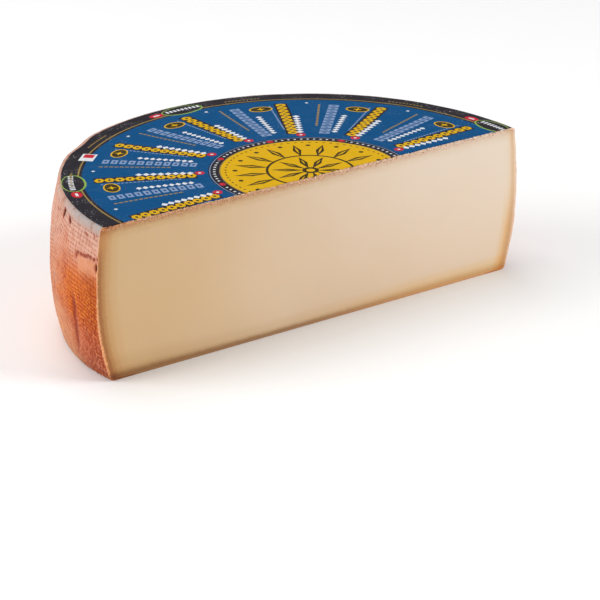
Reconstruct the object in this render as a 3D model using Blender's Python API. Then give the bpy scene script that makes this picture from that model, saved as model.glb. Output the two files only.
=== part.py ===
"""A half wheel of semi-hard cheese with a round paper label on its top.

Metres, +Z up. The origin is on the surface that the cheese stands on, under the middle of its
bounding box. The cut face looks towards -Y, and the rind curves round towards +Y.
"""

import math

import bmesh
import bpy
from mathutils import Matrix, Vector, noise

# The wheel before it was cut: a flat disc with a bulging side
WHEEL_HEIGHT = 0.094
TOP_RADIUS = 0.151
WIDEST_RADIUS = 0.154
WIDEST_HEIGHT = 0.050
FOOT_RADIUS = 0.1462
TOP_EDGE_ROUND = 0.0025
FOOT_EDGE_ROUND = 0.0030

# The knife passed this far in front of the wheel's axis, so a little over half is left
CUT_AHEAD_OF_AXIS = 0.009
CUT_Y = -(CUT_AHEAD_OF_AXIS + WIDEST_RADIUS) / 2
AXIS_Y = CUT_Y + CUT_AHEAD_OF_AXIS

# The paper label, which follows the top of the wheel a hair above it
LABEL_RADIUS = 0.148
LABEL_THICKNESS = 0.0003
LABEL_GAP = 0.0003
LABEL_EDGE_WOBBLE = 0.0004

# How far the rind is out of true, and how wide its lumps are
SIDE_UNEVEN = 0.0009
TOP_UNEVEN = 0.0006
WIDE_LUMP = 0.070
SMALL_LUMP = 0.024
SMALL_LUMP_SHARE = 0.4
SIDE_PATTERN = 0.0
TOP_PATTERN = 7.0
LABEL_EDGE_PATTERN = 3.0

# Inside this radius the wheel's upper side and foot keep their true outline
RELIEF_START_RADIUS = 0.135
RELIEF_BLEND = 0.008

# A knock in the top rim, at the back left: its angle about the wheel's axis from +X, and its size
KNOCK_ANGLE = math.radians(126)
KNOCK_HALF_WIDTH = math.radians(7)
KNOCK_DEPTH = 0.0016
KNOCK_HEIGHT = 0.018

# The wheel slumped at the back left as it ripened: its foot bulges out and its shoulder leans in
SLUMP_ANGLE = math.radians(155)
SLUMP_HALF_WIDTH = math.radians(40)
SLUMP_FOOT_OUT = 0.0033
SLUMP_FOOT_HEIGHT = 0.014
SLUMP_FOOT_REACH = 0.070
SLUMP_SHOULDER_IN = 0.0028
SLUMP_SHOULDER_HEIGHT = 0.022
LABEL_SLUMP_SHARE = 0.3

# Mesh density
SEGMENTS = 144
TOP_RINGS = 8
SIDE_ROWS = 18
ROUND_STEPS = 4
MERGE_DISTANCE = 1e-6

RIND_COLOUR = (0.58, 0.20, 0.08, 1.0)
PASTE_COLOUR = (0.72, 0.53, 0.34, 1.0)
LABEL_COLOUR = (0.02, 0.09, 0.24, 1.0)


def clear_scene():
    for leftover in list(bpy.data.objects):
        bpy.data.objects.remove(leftover)


def material(name, colour, roughness):
    finish = bpy.data.materials.new(name)
    finish.use_nodes = True
    shader = finish.node_tree.nodes["Principled BSDF"]
    shader.inputs["Base Color"].default_value = colour
    shader.inputs["Roughness"].default_value = roughness
    shader.inputs["Metallic"].default_value = 0.0
    return finish


def object_from(shape, name, finish):
    """Turns a finished bmesh into an object of one material."""
    mesh = bpy.data.meshes.new(name)
    shape.to_mesh(mesh)
    shape.free()
    mesh.materials.append(finish)
    piece = bpy.data.objects.new(name, mesh)
    bpy.context.scene.collection.objects.link(piece)
    return piece


def side_radius(height):
    """Radius of the bulging side, which falls off as a parabola above and below its widest line."""
    if height < WIDEST_HEIGHT:
        drop = (WIDEST_HEIGHT - height) / WIDEST_HEIGHT
        return WIDEST_RADIUS - (WIDEST_RADIUS - FOOT_RADIUS) * drop**2
    rise = (height - WIDEST_HEIGHT) / (WHEEL_HEIGHT - WIDEST_HEIGHT)
    return WIDEST_RADIUS - (WIDEST_RADIUS - TOP_RADIUS) * rise**2


def rounded_edge(centre_height, radius, first_angle, last_angle):
    """Points of a rounded edge that meets the side, between two angles above the outward line."""
    centre_radius = side_radius(centre_height) - radius
    points = []
    for step in range(ROUND_STEPS + 1):
        angle = first_angle + (last_angle - first_angle) * step / ROUND_STEPS
        points.append(
            (centre_radius + radius * math.cos(angle), centre_height + radius * math.sin(angle))
        )
    return points


def label_rings():
    """Ring radii that the label and the cheese under it share, so their facets run parallel."""
    return [LABEL_RADIUS * ring / TOP_RINGS for ring in range(TOP_RINGS + 1)]


def wheel_profile():
    """Half the wheel's section as (radius, height), from the top's centre to the foot's centre."""
    top_side_height = WHEEL_HEIGHT - TOP_EDGE_ROUND
    top = [(radius, WHEEL_HEIGHT) for radius in label_rings()]
    top_edge = rounded_edge(top_side_height, TOP_EDGE_ROUND, math.radians(90), 0.0)
    foot_edge = rounded_edge(FOOT_EDGE_ROUND, FOOT_EDGE_ROUND, 0.0, math.radians(-90))
    row_height = (top_side_height - FOOT_EDGE_ROUND) / SIDE_ROWS
    heights = [top_side_height - row_height * row for row in range(1, SIDE_ROWS)]
    side = [(side_radius(height), height) for height in heights]
    return top + top_edge + side + foot_edge + [(0.0, 0.0)]


def label_profile():
    """The label's section, from its upper side's centre round its rim to its lower side's centre."""
    lower = WHEEL_HEIGHT + LABEL_GAP
    upper = lower + LABEL_THICKNESS
    rings = label_rings()
    return [(radius, upper) for radius in rings] + [(radius, lower) for radius in reversed(rings)]


def turned(profile):
    """Spins a profile that starts and ends on the wheel's axis into a closed bmesh."""
    shape = bmesh.new()
    points = [shape.verts.new((radius, 0.0, height)) for radius, height in profile]
    edges = [shape.edges.new(pair) for pair in zip(points, points[1:])]
    bmesh.ops.spin(
        shape,
        geom=points + edges,
        cent=(0.0, 0.0, 0.0),
        axis=(0.0, 0.0, 1.0),
        angle=math.tau,
        steps=SEGMENTS,
        use_merge=True,
    )
    bmesh.ops.remove_doubles(shape, verts=shape.verts, dist=MERGE_DISTANCE)
    bmesh.ops.recalc_face_normals(shape, faces=shape.faces)
    return shape


def smooth_step(share):
    share = min(1.0, max(0.0, share))
    return share * share * (3.0 - 2.0 * share)


def lumps(point, pattern):
    """Unevenness of about -1 to 1: wide lumps with smaller ones on them."""
    shift = Vector((pattern, 0.0, 0.0))
    wide = noise.noise(point / WIDE_LUMP + shift)
    small = noise.noise(point / SMALL_LUMP + shift)
    return wide + SMALL_LUMP_SHARE * small


def knock(angle, height):
    """How far the knocked rim is pushed in towards the axis."""
    along = 1.0 - smooth_step(abs(angle - KNOCK_ANGLE) / KNOCK_HALF_WIDTH)
    down = 1.0 - smooth_step((WHEEL_HEIGHT - height) / KNOCK_HEIGHT)
    return KNOCK_DEPTH * along * down


def slump(angle, height):
    """How far the slumped side is pushed out, which is less than nothing at its shoulder."""
    along = 1.0 - smooth_step(abs(angle - SLUMP_ANGLE) / SLUMP_HALF_WIDTH)
    foot = 1.0 - smooth_step((height - SLUMP_FOOT_HEIGHT) / SLUMP_FOOT_REACH)
    shoulder = 1.0 - smooth_step((WHEEL_HEIGHT - height) / SLUMP_SHOULDER_HEIGHT)
    return along * (SLUMP_FOOT_OUT * foot - SLUMP_SHOULDER_IN * shoulder)


def angle_about_axis(point):
    """From +X round the back, with the front of the wheel at 180 to 270 degrees and below 0."""
    angle = math.atan2(point.y, point.x)
    return angle + math.tau if angle < -math.pi / 2.0 else angle


def top_lift(point):
    """How far the upper side is above or below its true plane. The foot stays flat."""
    above_foot = smooth_step(point.z / WHEEL_HEIGHT)
    below_point = Vector((point.x, point.y, 0.0))
    return above_foot * TOP_UNEVEN * noise.noise(below_point / WIDE_LUMP + Vector((TOP_PATTERN, 0, 0)))


def move_outward(vertex, distance):
    """Moves a vertex away from the wheel's axis."""
    level = Vector((vertex.co.x, vertex.co.y, 0.0))
    if level.length > MERGE_DISTANCE:
        vertex.co += level.normalized() * distance


def make_wheel_uneven(shape):
    """Gives the true wheel the lumps and the knocked rim of a real one."""
    for vertex in shape.verts:
        point = vertex.co.copy()
        radius = math.hypot(point.x, point.y)
        angle = angle_about_axis(point)
        relief = smooth_step((radius - RELIEF_START_RADIUS) / RELIEF_BLEND)
        outward = SIDE_UNEVEN * lumps(point, SIDE_PATTERN)
        outward += slump(angle, point.z) - knock(angle, point.z)
        move_outward(vertex, relief * outward)
        vertex.co.z += top_lift(point)


def make_label_uneven(shape):
    """Lays the label on the uneven top, and gives its rim the wobble of cut paper."""
    for vertex in shape.verts:
        point = vertex.co.copy()
        if math.hypot(point.x, point.y) > LABEL_RADIUS - MERGE_DISTANCE:
            angle = angle_about_axis(point)
            level = Vector((point.x, point.y, 0.0))
            wobble = LABEL_EDGE_WOBBLE * (lumps(level, LABEL_EDGE_PATTERN) - 1.0)
            leaning = LABEL_SLUMP_SHARE * slump(angle, WHEEL_HEIGHT)
            move_outward(vertex, wobble + leaning - knock(angle, WHEEL_HEIGHT))
        vertex.co.z += top_lift(Vector((point.x, point.y, WHEEL_HEIGHT)))


def knife_block(paste):
    """The space in front of the cut plane, where the other half of the wheel was."""
    width = 4.0 * WIDEST_RADIUS
    depth = 2.0 * WIDEST_RADIUS
    shape = bmesh.new()
    bmesh.ops.create_cube(shape, size=1.0, matrix=Matrix.Diagonal((width, depth, width, 1.0)))
    block = object_from(shape, "knife_block", paste)
    block.location.y = CUT_Y - depth / 2.0
    block.hide_render = True
    block.display_type = "WIRE"
    return block


def cut_along_plane(piece, block):
    cut = piece.modifiers.new("cut through the wheel", "BOOLEAN")
    cut.operation = "DIFFERENCE"
    cut.solver = "EXACT"
    cut.object = block


def half_wheel(block):
    """Rind and paste in one solid. The cut face takes the paste's material from the block."""
    shape = turned(wheel_profile())
    make_wheel_uneven(shape)
    wheel = object_from(shape, "cheese_half_wheel", material("rind", RIND_COLOUR, 0.6))
    wheel.data.shade_smooth()
    wheel.location.y = AXIS_Y
    cut_along_plane(wheel, block)
    wheel.modifiers[0].material_mode = "TRANSFER"
    return wheel


def paper_label(block):
    shape = turned(label_profile())
    make_label_uneven(shape)
    label = object_from(shape, "paper_label", material("printed paper", LABEL_COLOUR, 0.5))
    label.location.y = AXIS_Y
    cut_along_plane(label, block)
    return label


def main():
    clear_scene()
    block = knife_block(material("paste", PASTE_COLOUR, 0.45))
    half_wheel(block)
    paper_label(block)


main()
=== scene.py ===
# %% [markdown]
# # A half wheel of semi-hard cheese
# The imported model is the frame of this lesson: two plain solids, the half wheel and the paper
# label on its top. Each step below dresses a part of them. It says what the real thing is, how
# it could be made in Blender, and why it is made in the way that follows.

import math

import bpy
import numpy as np
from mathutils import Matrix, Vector, noise
from mathutils.geometry import delaunay_2d_cdt


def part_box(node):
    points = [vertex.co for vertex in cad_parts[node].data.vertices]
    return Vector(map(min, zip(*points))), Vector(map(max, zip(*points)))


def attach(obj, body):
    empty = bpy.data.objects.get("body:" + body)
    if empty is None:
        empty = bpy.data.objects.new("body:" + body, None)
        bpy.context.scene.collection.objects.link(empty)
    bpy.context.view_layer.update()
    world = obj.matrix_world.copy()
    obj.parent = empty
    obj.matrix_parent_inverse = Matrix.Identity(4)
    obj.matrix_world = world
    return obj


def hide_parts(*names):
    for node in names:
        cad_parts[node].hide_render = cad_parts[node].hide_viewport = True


MM = 0.001
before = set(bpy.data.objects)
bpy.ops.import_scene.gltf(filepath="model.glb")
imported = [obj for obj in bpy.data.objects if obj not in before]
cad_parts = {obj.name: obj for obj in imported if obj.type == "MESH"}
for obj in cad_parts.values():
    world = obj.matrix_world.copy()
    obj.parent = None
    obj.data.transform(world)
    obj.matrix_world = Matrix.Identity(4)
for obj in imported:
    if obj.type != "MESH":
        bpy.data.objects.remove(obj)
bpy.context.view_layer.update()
print("packed nodes:", ", ".join(sorted(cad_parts)))

# %% [markdown]
# ## The wheel's own measures
# A wheel of cheese is a turned shape, so every place on it is easiest to say as an angle about
# the wheel's axis and a height. The knife passed a little in front of that axis. Angles run from
# the right-hand end of the cut, round the back, to its left-hand end.

# %% Where the wheel's axis, cut and rim are
cheese_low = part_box("cheese_half_wheel")[0]
CUT_AHEAD = 9.0 * MM
AXIS_Y = cheese_low.y + CUT_AHEAD
WHEEL_HEIGHT = 94.0 * MM
WIDEST_RADIUS = 154.0 * MM
WIDEST_HEIGHT = 50.0 * MM
TOP_RADIUS = 151.0 * MM
FOOT_RADIUS = 146.2 * MM
TOP_ROUND = 2.5 * MM
FOOT_ROUND = 3.0 * MM
LABEL_RADIUS = 148.0 * MM
LEFT_END = math.pi + math.asin(CUT_AHEAD / WIDEST_RADIUS)
RIGHT_END = math.pi - LEFT_END
print("cut plane at y =", round(cheese_low.y, 4), "and axis at y =", round(AXIS_Y, 4))


def side_radius(height):
    """Radius of the bulging side, a parabola above and below its widest line."""
    drop = np.clip((WIDEST_HEIGHT - height) / WIDEST_HEIGHT, 0, 1)
    rise = np.clip((height - WIDEST_HEIGHT) / (WHEEL_HEIGHT - WIDEST_HEIGHT), 0, 1)
    bulge = WIDEST_RADIUS - (WIDEST_RADIUS - FOOT_RADIUS) * drop**2
    return bulge - (WIDEST_RADIUS - TOP_RADIUS) * rise**2


# %% Soft steps and soft noise for many points at once
def smooth_step(share):
    share = np.clip(share, 0.0, 1.0)
    return share * share * (3.0 - 2.0 * share)


def noise_at(points, size, shift=0.0):
    """Blender's smooth noise, about -1 to 1, with lumps of a given size."""
    offset = Vector((shift, 0.0, 0.0))
    return np.array([noise.noise(Vector(point) / size + offset) for point in points])


def uneven(points, size, shift, middle=0.5, spread=0.5, limits=(0.0, 1.0)):
    """Noise about a middle value, cut off at two limits."""
    return np.clip(middle + spread * noise_at(points, size, shift), *limits)


# %% [markdown]
# ## The unevenness that the wheel has
# The frame's solids have wide lumps, a top that is not quite level, one knock in the rim, and a
# side that slumped a little as the cheese ripened. The finer mesh repeats them by the same rules,
# so that it lies where the solids lie.

# %% Lumps, and a top that isn't level
SIDE_UNEVEN = 0.9 * MM
TOP_UNEVEN = 0.6 * MM
WIDE_LUMP = 70 * MM
SMALL_LUMP = 24 * MM
SMALL_LUMP_SHARE = 0.4
TOP_PATTERN = 7.0
LABEL_EDGE_PATTERN = 3.0
# A point times LEVEL loses its height. A point about the axis plus AXIS_PLACE is in the frame.
LEVEL = np.array([1.0, 1.0, 0.0])
AXIS_PLACE = np.array([0.0, AXIS_Y, 0.0])


def lumps(points, shift=0.0):
    """Unevenness of about -1 to 1: wide lumps with smaller ones on them."""
    small = SMALL_LUMP_SHARE * noise_at(points, SMALL_LUMP, shift)
    return noise_at(points, WIDE_LUMP, shift) + small


def top_lift(points):
    """How far the upper side is above its true plane at points about the wheel's axis."""
    above_foot = smooth_step(points[:, 2] / WHEEL_HEIGHT)
    return above_foot * TOP_UNEVEN * noise_at(points * LEVEL, WIDE_LUMP, TOP_PATTERN)


# %% The knock and the slump
KNOCK_ANGLE = math.radians(126)
KNOCK_HALF_WIDTH = math.radians(7)
KNOCK_DEPTH = 1.6 * MM
KNOCK_HEIGHT = 18 * MM
SLUMP_ANGLE = math.radians(155)
SLUMP_HALF_WIDTH = math.radians(40)
SLUMP_FOOT_OUT = 3.3 * MM
SLUMP_FOOT_HEIGHT = 14 * MM
SLUMP_FOOT_REACH = 70 * MM
SLUMP_SHOULDER_IN = 2.8 * MM
SLUMP_SHOULDER_HEIGHT = 22 * MM
LABEL_SLUMP_SHARE = 0.3


def fall(distance, reach):
    """1 at no distance, and 0 from the reach on."""
    return 1.0 - smooth_step(distance / reach)


def knock(angles, heights):
    """How far the knocked rim is pushed in towards the axis."""
    along = fall(np.abs(angles - KNOCK_ANGLE), KNOCK_HALF_WIDTH)
    return KNOCK_DEPTH * along * fall(WHEEL_HEIGHT - heights, KNOCK_HEIGHT)


def slump(angles, heights):
    """How far the slumped side is pushed out, which is less than nothing at its shoulder."""
    along = fall(np.abs(angles - SLUMP_ANGLE), SLUMP_HALF_WIDTH)
    foot = fall(heights - SLUMP_FOOT_HEIGHT, SLUMP_FOOT_REACH)
    shoulder = fall(WHEEL_HEIGHT - heights, SLUMP_SHOULDER_HEIGHT)
    return along * (SLUMP_FOOT_OUT * foot - SLUMP_SHOULDER_IN * shoulder)


# %% [markdown]
# ## The skin as a cloth of rows and columns
# The rind ripened in a linen cloth, and every thread of the cloth left its groove. The mesh of
# the side is laid out like that cloth: three columns of faces to a warp thread and three rows to a
# weft thread. Then a groove always falls on a line of vertices, and the imprint stays crisp with
# few faces. The cloth did not lie straight, so the rows wander up and down and the columns lean.

# %% Lay the rows from under the label, down the side, to under the foot
COLUMNS_PER_THREAD = 3
ROWS_PER_THREAD = 3
WARP_THREADS = 164
WEFT_THREADS = 36
UNDER_LABEL_RADIUS = 134 * MM
UNDER_FOOT_RADIUS = 130 * MM
TOP_ROWS = 9
ROUND_ROWS = 5
FOOT_ROWS = 6
BASE_ROWS = 6


def arc_rows(centre_height, radius, first, last, count):
    """Rows round an edge that meets the side, between two angles above the outward line."""
    centre = side_radius(centre_height) - radius
    angles = np.linspace(first, last, count + 1)
    return centre + radius * np.cos(angles), centre_height + radius * np.sin(angles)


def skin_rows():
    """Radius and height of each row, and how many weft threads lie above it."""
    shoulder = WHEEL_HEIGHT - TOP_ROUND
    edge_r, edge_z = arc_rows(shoulder, TOP_ROUND, math.pi / 2, 0.0, ROUND_ROWS)
    foot_r, foot_z = arc_rows(FOOT_ROUND, FOOT_ROUND, 0.0, -math.pi / 2, FOOT_ROWS)
    top_r = np.linspace(UNDER_LABEL_RADIUS, edge_r[0], TOP_ROWS, endpoint=False)
    side_z = np.linspace(shoulder, FOOT_ROUND, WEFT_THREADS * ROWS_PER_THREAD + 1)[1:-1]
    base_r = np.linspace(foot_r[-1], UNDER_FOOT_RADIUS, BASE_ROWS + 1)[1:]
    radii = np.concatenate([top_r, edge_r, side_radius(side_z), foot_r, base_r])
    heights = np.concatenate(
        [np.full(TOP_ROWS, WHEEL_HEIGHT), edge_z, side_z, foot_z, np.zeros(BASE_ROWS)]
    )
    first_side_row = TOP_ROWS + ROUND_ROWS
    threads = (np.arange(len(radii)) - first_side_row) / ROWS_PER_THREAD
    return radii, heights, threads


row_radii, row_heights, row_threads = skin_rows()
column_count = WARP_THREADS * COLUMNS_PER_THREAD + 1
print("skin rows and columns:", len(row_radii), column_count)

# %% Let the rows wander and the columns lean
ROW_WAVE = 4.5 * MM
ROW_WAVE_LENGTH = 130 * MM
ROW_WAVE_START = ROW_WAVE_LENGTH / 5
ROW_RIPPLE = 1.2 * MM
ROW_RIPPLE_LENGTH = 47 * MM
ROW_WRINKLE = 2.0 * MM
WRINKLE_SIZE = 15 * MM
ROW_PATTERN = 31.0
COLUMN_PATTERN = 33.0
COLUMN_LEAN = 3.5 * MM
COLUMN_WRINKLE = 0.9 * MM
COLUMN_STRAIGHT_ENDS = 0.06


def turned_points(angles, radii, heights):
    """Points about the wheel's axis, one row of an array for each."""
    return np.stack(
        [radii * np.cos(angles), radii * np.sin(angles), np.broadcast_to(heights, radii.shape)],
        axis=-1,
    ).reshape(-1, 3)


def lay_skin():
    """Angle, radius and height of every skin vertex, row by row."""
    share = np.linspace(0.0, 1.0, column_count)[None, :]
    heights = np.repeat(row_heights[:, None], column_count, axis=1)
    from_left = (1.0 - share) * (LEFT_END - RIGHT_END) * WIDEST_RADIUS
    wave = ROW_WAVE * np.sin(math.tau * (from_left - ROW_WAVE_START) / ROW_WAVE_LENGTH)
    wave = wave + ROW_RIPPLE * np.sin(math.tau * from_left / ROW_RIPPLE_LENGTH)
    shoulder = WHEEL_HEIGHT - TOP_ROUND
    on_side = (row_heights > FOOT_ROUND) & (row_heights < shoulder)
    down_side = (shoulder - row_heights) / (shoulder - FOOT_ROUND)
    freedom = np.where(on_side, np.sin(math.pi * np.clip(down_side, 0, 1)), 0.0)[:, None]
    level = np.zeros_like(heights)
    straight = turned_points(level + share * LEFT_END, level + WIDEST_RADIUS, heights)
    row_wrinkles, column_wrinkles = (
        noise_at(straight, WRINKLE_SIZE, pattern).reshape(heights.shape)
        for pattern in (ROW_PATTERN, COLUMN_PATTERN)
    )
    heights = heights + freedom * (wave + ROW_WRINKLE * row_wrinkles)
    radii = np.where(on_side[:, None], side_radius(heights), row_radii[:, None])
    half_chord = np.arcsin(CUT_AHEAD / radii)
    lean = COLUMN_LEAN * np.sin(math.tau * heights / WHEEL_HEIGHT)
    lean = lean + COLUMN_WRINKLE * column_wrinkles
    ends = smooth_step(np.minimum(share, 1.0 - share) / COLUMN_STRAIGHT_ENDS)
    angles = -half_chord + share * (math.pi + 2 * half_chord) + lean / WIDEST_RADIUS * ends
    return angles, radii, heights


skin_angles, skin_radii, skin_heights = lay_skin()

# %% [markdown]
# ## Marks in the rind
# The rind has dark pits in a line under the rim, a few upright creases where the cloth was
# folded, and a small square tag pressed into it. They could be painted, but they catch the
# light, so they are real dents. Each function below says how deep its mark is at an angle and a
# height, and the deepest places are remembered in an attribute that the material darkens, partly
# as painted shade.

# %% Creases
CREASE_HALF_WIDTH = 2.1 * MM
VALLEY_HALF_WIDTH = 5.0 * MM
VALLEY_SHARE = 0.7
CREASE_WANDER = 1.0 * MM
CREASE_WANDER_SIZE = 9 * MM
CREASE_END_STEEPNESS = 3.0
CREASE_BOW_POWER = 4


def crease(angles, heights, at, low, high, bow, depth):
    """An upright fold and the soft valley round it, between two heights. Its foot bows aside."""
    along = (heights - low) / (high - low)
    up_the_fold = np.stack([np.zeros_like(heights), np.zeros_like(heights), heights], axis=-1)
    wander = CREASE_WANDER * noise_at(up_the_fold, CREASE_WANDER_SIZE, at)
    bowed = wander - bow * (1.0 - np.clip(along, 0, 1)) ** CREASE_BOW_POWER
    across = (angles - math.radians(at)) * WIDEST_RADIUS - bowed
    ends = smooth_step(along * CREASE_END_STEEPNESS)
    ends = ends * smooth_step((1.0 - along) * CREASE_END_STEEPNESS)
    sharp = np.exp(-((across / CREASE_HALF_WIDTH) ** 2))
    valley = VALLEY_SHARE * np.exp(-((across / VALLEY_HALF_WIDTH) ** 2))
    return depth * ends * sharp, depth * ends * valley


CREASES = [
    dict(at=173.8, low=4 * MM, high=54 * MM, bow=8 * MM, depth=0.62 * MM),
    dict(at=150.0, low=16 * MM, high=44 * MM, bow=-5 * MM, depth=0.4 * MM),
    dict(at=104.0, low=22 * MM, high=66 * MM, bow=6 * MM, depth=0.5 * MM),
    dict(at=58.0, low=12 * MM, high=50 * MM, bow=-7 * MM, depth=0.5 * MM),
    dict(at=21.0, low=30 * MM, high=70 * MM, bow=4 * MM, depth=0.4 * MM),
]

# %% Pits in a line under the rim, in degrees and mm
PIT_COUNT = 46
PIT_PATTERN = 12
PIT_ANGLE_SCATTER = 1.2
PITS_STOP_SHORT = 1.5
PIT_LINE_HEIGHT = 87.5
PIT_SCATTER = 1.4
PIT_LENGTHS = (0.8, 2.4)
PIT_WIDTH = 0.75
PIT_DEPTHS = (0.25, 1.1)
PIT_SLOPES = (-70, -10)
FAINT_FROM = 162.0
FAINT_SHARE = 0.45
LARGE_PITS = [
    (165.1, 87.4, 2.4, 1.5, 90, 1.7),
    (169.4, 86.9, 2.3, 1.1, -35, 1.4),
    (178.0, 86.5, 2.3, 0.9, -20, 0.5),
    (181.4, 87.3, 1.5, 0.8, -60, 0.5),
    (182.95, 70.7, 2.2, 0.9, 88, 1.5),
]


def random_pits():
    """Pits as angle, height, half length, half width, slope and depth."""
    rule = np.random.default_rng(PIT_PATTERN)
    last = math.degrees(LEFT_END) - PITS_STOP_SHORT
    angle = np.linspace(math.degrees(RIGHT_END), last, PIT_COUNT)
    angle = angle + rule.normal(0.0, PIT_ANGLE_SCATTER, PIT_COUNT)
    height = PIT_LINE_HEIGHT + rule.normal(0.0, PIT_SCATTER, PIT_COUNT)
    length = rule.uniform(*PIT_LENGTHS, PIT_COUNT)
    depth = rule.uniform(*PIT_DEPTHS, PIT_COUNT)
    slope = rule.uniform(*PIT_SLOPES, PIT_COUNT)
    faint = np.where(angle > FAINT_FROM, FAINT_SHARE, 1.0)
    sizes = [length * faint, PIT_WIDTH * faint, slope, depth * faint]
    return np.column_stack([angle, height, *sizes])


def pits(angles, heights):
    """Short sloping scratches, each a long dent along its own line."""
    depth = np.zeros_like(angles)
    for at, height, length, width, slope, deep in [*random_pits(), *LARGE_PITS]:
        turn = math.radians(slope)
        aside = (angles - math.radians(at)) * WIDEST_RADIUS
        up = heights - height * MM
        along = (aside * math.cos(turn) + up * math.sin(turn)) / (length * MM)
        across = (up * math.cos(turn) - aside * math.sin(turn)) / (width * MM)
        depth = np.maximum(depth, deep * MM * np.exp(-(along**2) - across**2))
    return depth


# %% The pressed tag
TAG_ANGLE = 180.0
TAG_HEIGHT = 69.2 * MM
TAG_HALF_WIDTH = 13.0 * MM
TAG_HALF_HEIGHT = 5.6 * MM
TAG_CORNER = 2.6 * MM
TAG_SLOPE = math.radians(4.5)
TAG_EDGE = 2.0 * MM
TAG_GROOVE_HALF_WIDTH = 1.05 * MM
TAG_GROOVE_DEPTH = 1.0 * MM
TAG_FAINTEST = 0.10
TAG_STEEPNESS = 1.2
TAG_GROOVE_BREAKS = dict(size=2.2 * MM, shift=41.0, middle=0.7, spread=1.5, limits=(0.15, 1.2))


def tag_frame(angles, heights):
    """Places in the tag's own frame, and how far outside its rounded outline they are."""
    aside = (angles - math.radians(TAG_ANGLE)) * WIDEST_RADIUS
    up = heights - TAG_HEIGHT
    across = aside * math.cos(TAG_SLOPE) + up * math.sin(TAG_SLOPE)
    upward = up * math.cos(TAG_SLOPE) - aside * math.sin(TAG_SLOPE)
    past_side = np.abs(across) - TAG_HALF_WIDTH + TAG_CORNER
    past_top = np.abs(upward) - TAG_HALF_HEIGHT + TAG_CORNER
    round_corner = np.hypot(np.maximum(past_side, 0), np.maximum(past_top, 0))
    outside = round_corner + np.minimum(np.maximum(past_side, past_top), 0) - TAG_CORNER
    return across, upward, outside


def inside_tag(angles, heights):
    return smooth_step(-tag_frame(angles, heights)[2] / TAG_EDGE)


def tag_groove(angles, heights, points):
    """A ragged groove, deepest along the tag's upper side and faint along its lower one."""
    across, upward, outside = tag_frame(angles, heights)
    line = np.exp(-((outside / TAG_GROOVE_HALF_WIDTH) ** 2))
    rising = smooth_step(upward / TAG_HALF_HEIGHT * TAG_STEEPNESS)
    strongest = TAG_FAINTEST + (1.0 - TAG_FAINTEST) * rising
    near = np.abs(outside) < 3 * TAG_GROOVE_HALF_WIDTH
    ragged_line = np.zeros_like(line)
    ragged_line[near] = uneven(points[near], **TAG_GROOVE_BREAKS)
    return TAG_GROOVE_DEPTH * line * strongest * ragged_line


# %% Give the skin its lumps and marks
RELIEF_START_RADIUS = 135 * MM
RELIEF_BLEND = 8 * MM
SOFT_DENT = 0.5 * MM
SOFT_DENTS = dict(size=12 * MM, shift=5.0, limits=(-1.0, 2.0))
LEATHER_DEPTH = 0.16 * MM
LEATHER_SIZE = 3.4 * MM
LEATHER_PATTERN = 6.0
SCAR_DARKEST = 0.5 * MM
CREASE_DARKEST = 0.42 * MM

angles = skin_angles.ravel()
heights = skin_heights.ravel()
true_points = turned_points(skin_angles, skin_radii, skin_heights)
pit_depth = pits(angles, heights)
scar_depth = tag_groove(angles, heights, true_points)
crease_depth = np.zeros_like(scar_depth)
valley_depth = np.zeros_like(scar_depth)
for mark in CREASES:
    fold, valley = crease(angles, heights, **mark)
    scar_depth = np.maximum(scar_depth, np.minimum(fold, CREASE_DARKEST))
    crease_depth = np.maximum(crease_depth, fold)
    valley_depth = np.maximum(valley_depth, valley)
scar_depth = np.minimum(scar_depth, SCAR_DARKEST)
scar_depth = np.maximum(scar_depth, pit_depth)
relief = smooth_step((skin_radii.ravel() - RELIEF_START_RADIUS) / RELIEF_BLEND)
outward = SIDE_UNEVEN * lumps(true_points) + slump(angles, heights) - knock(angles, heights)
outward -= SOFT_DENT * uneven(true_points, **SOFT_DENTS)
outward += LEATHER_DEPTH * noise_at(true_points, LEATHER_SIZE, LEATHER_PATTERN)
outward -= np.maximum(scar_depth, crease_depth) + valley_depth
skin_points = turned_points(
    skin_angles, skin_radii + (relief * outward).reshape(skin_radii.shape), skin_heights
)
skin_points[:, 2] += top_lift(true_points)
skin_scars = np.clip(scar_depth / SCAR_DARKEST, 0.0, 2.0)
skin_tag = inside_tag(angles, heights)
print("skin vertices:", len(skin_points), "deepest mark in mm:", round(scar_depth.max() / MM, 2))

# %% [markdown]
# ## The cut face
# A long knife cut the wheel, so the paste is smooth and almost flat. The rind is drier and
# broke unevenly, most of all along the top. The face is filled with triangles by Delaunay's
# rule: small ones near the rind, where the edge is ragged and the colour changes, and large ones
# in the paste. It shares its outline with the skin, so the half wheel is one closed mesh.

# %% How far a place on the cut is under the skin, and how ragged it is
RIND_THICKNESS = 2.4 * MM
RAGGED_DEPTH = 0.55 * MM
RAGGED_BREAKS = dict(size=1.9 * MM, shift=2.0, middle=0.45, spread=1.3)
RAGGED_BELOW_TOP = 8 * MM
RAGGED_LOW_SHARE = 0.3


def under_side(across, heights):
    """Distance from the bulging side of a place on the cut face."""
    return np.sqrt(side_radius(heights) ** 2 - CUT_AHEAD**2) - np.abs(across)


def under_skin(across, heights):
    """Distance from the nearest skin of a place on the cut face."""
    to_ends = np.minimum(heights, WHEEL_HEIGHT - heights)
    return np.minimum(under_side(across, heights), to_ends)


def ragged(across, heights):
    """How far the broken rind lies behind the knife's plane."""
    places = np.stack([across, np.zeros_like(across), heights], axis=-1)
    in_rind = fall(under_skin(across, heights), RIND_THICKNESS)
    near_top = fall(WHEEL_HEIGHT - heights, RAGGED_BELOW_TOP)
    share = RAGGED_LOW_SHARE + (1.0 - RAGGED_LOW_SHARE) * near_top
    return RAGGED_DEPTH * uneven(places, **RAGGED_BREAKS) * in_rind * share


# %% Fill an outline with triangles
CLOSEST = 1e-5


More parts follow.
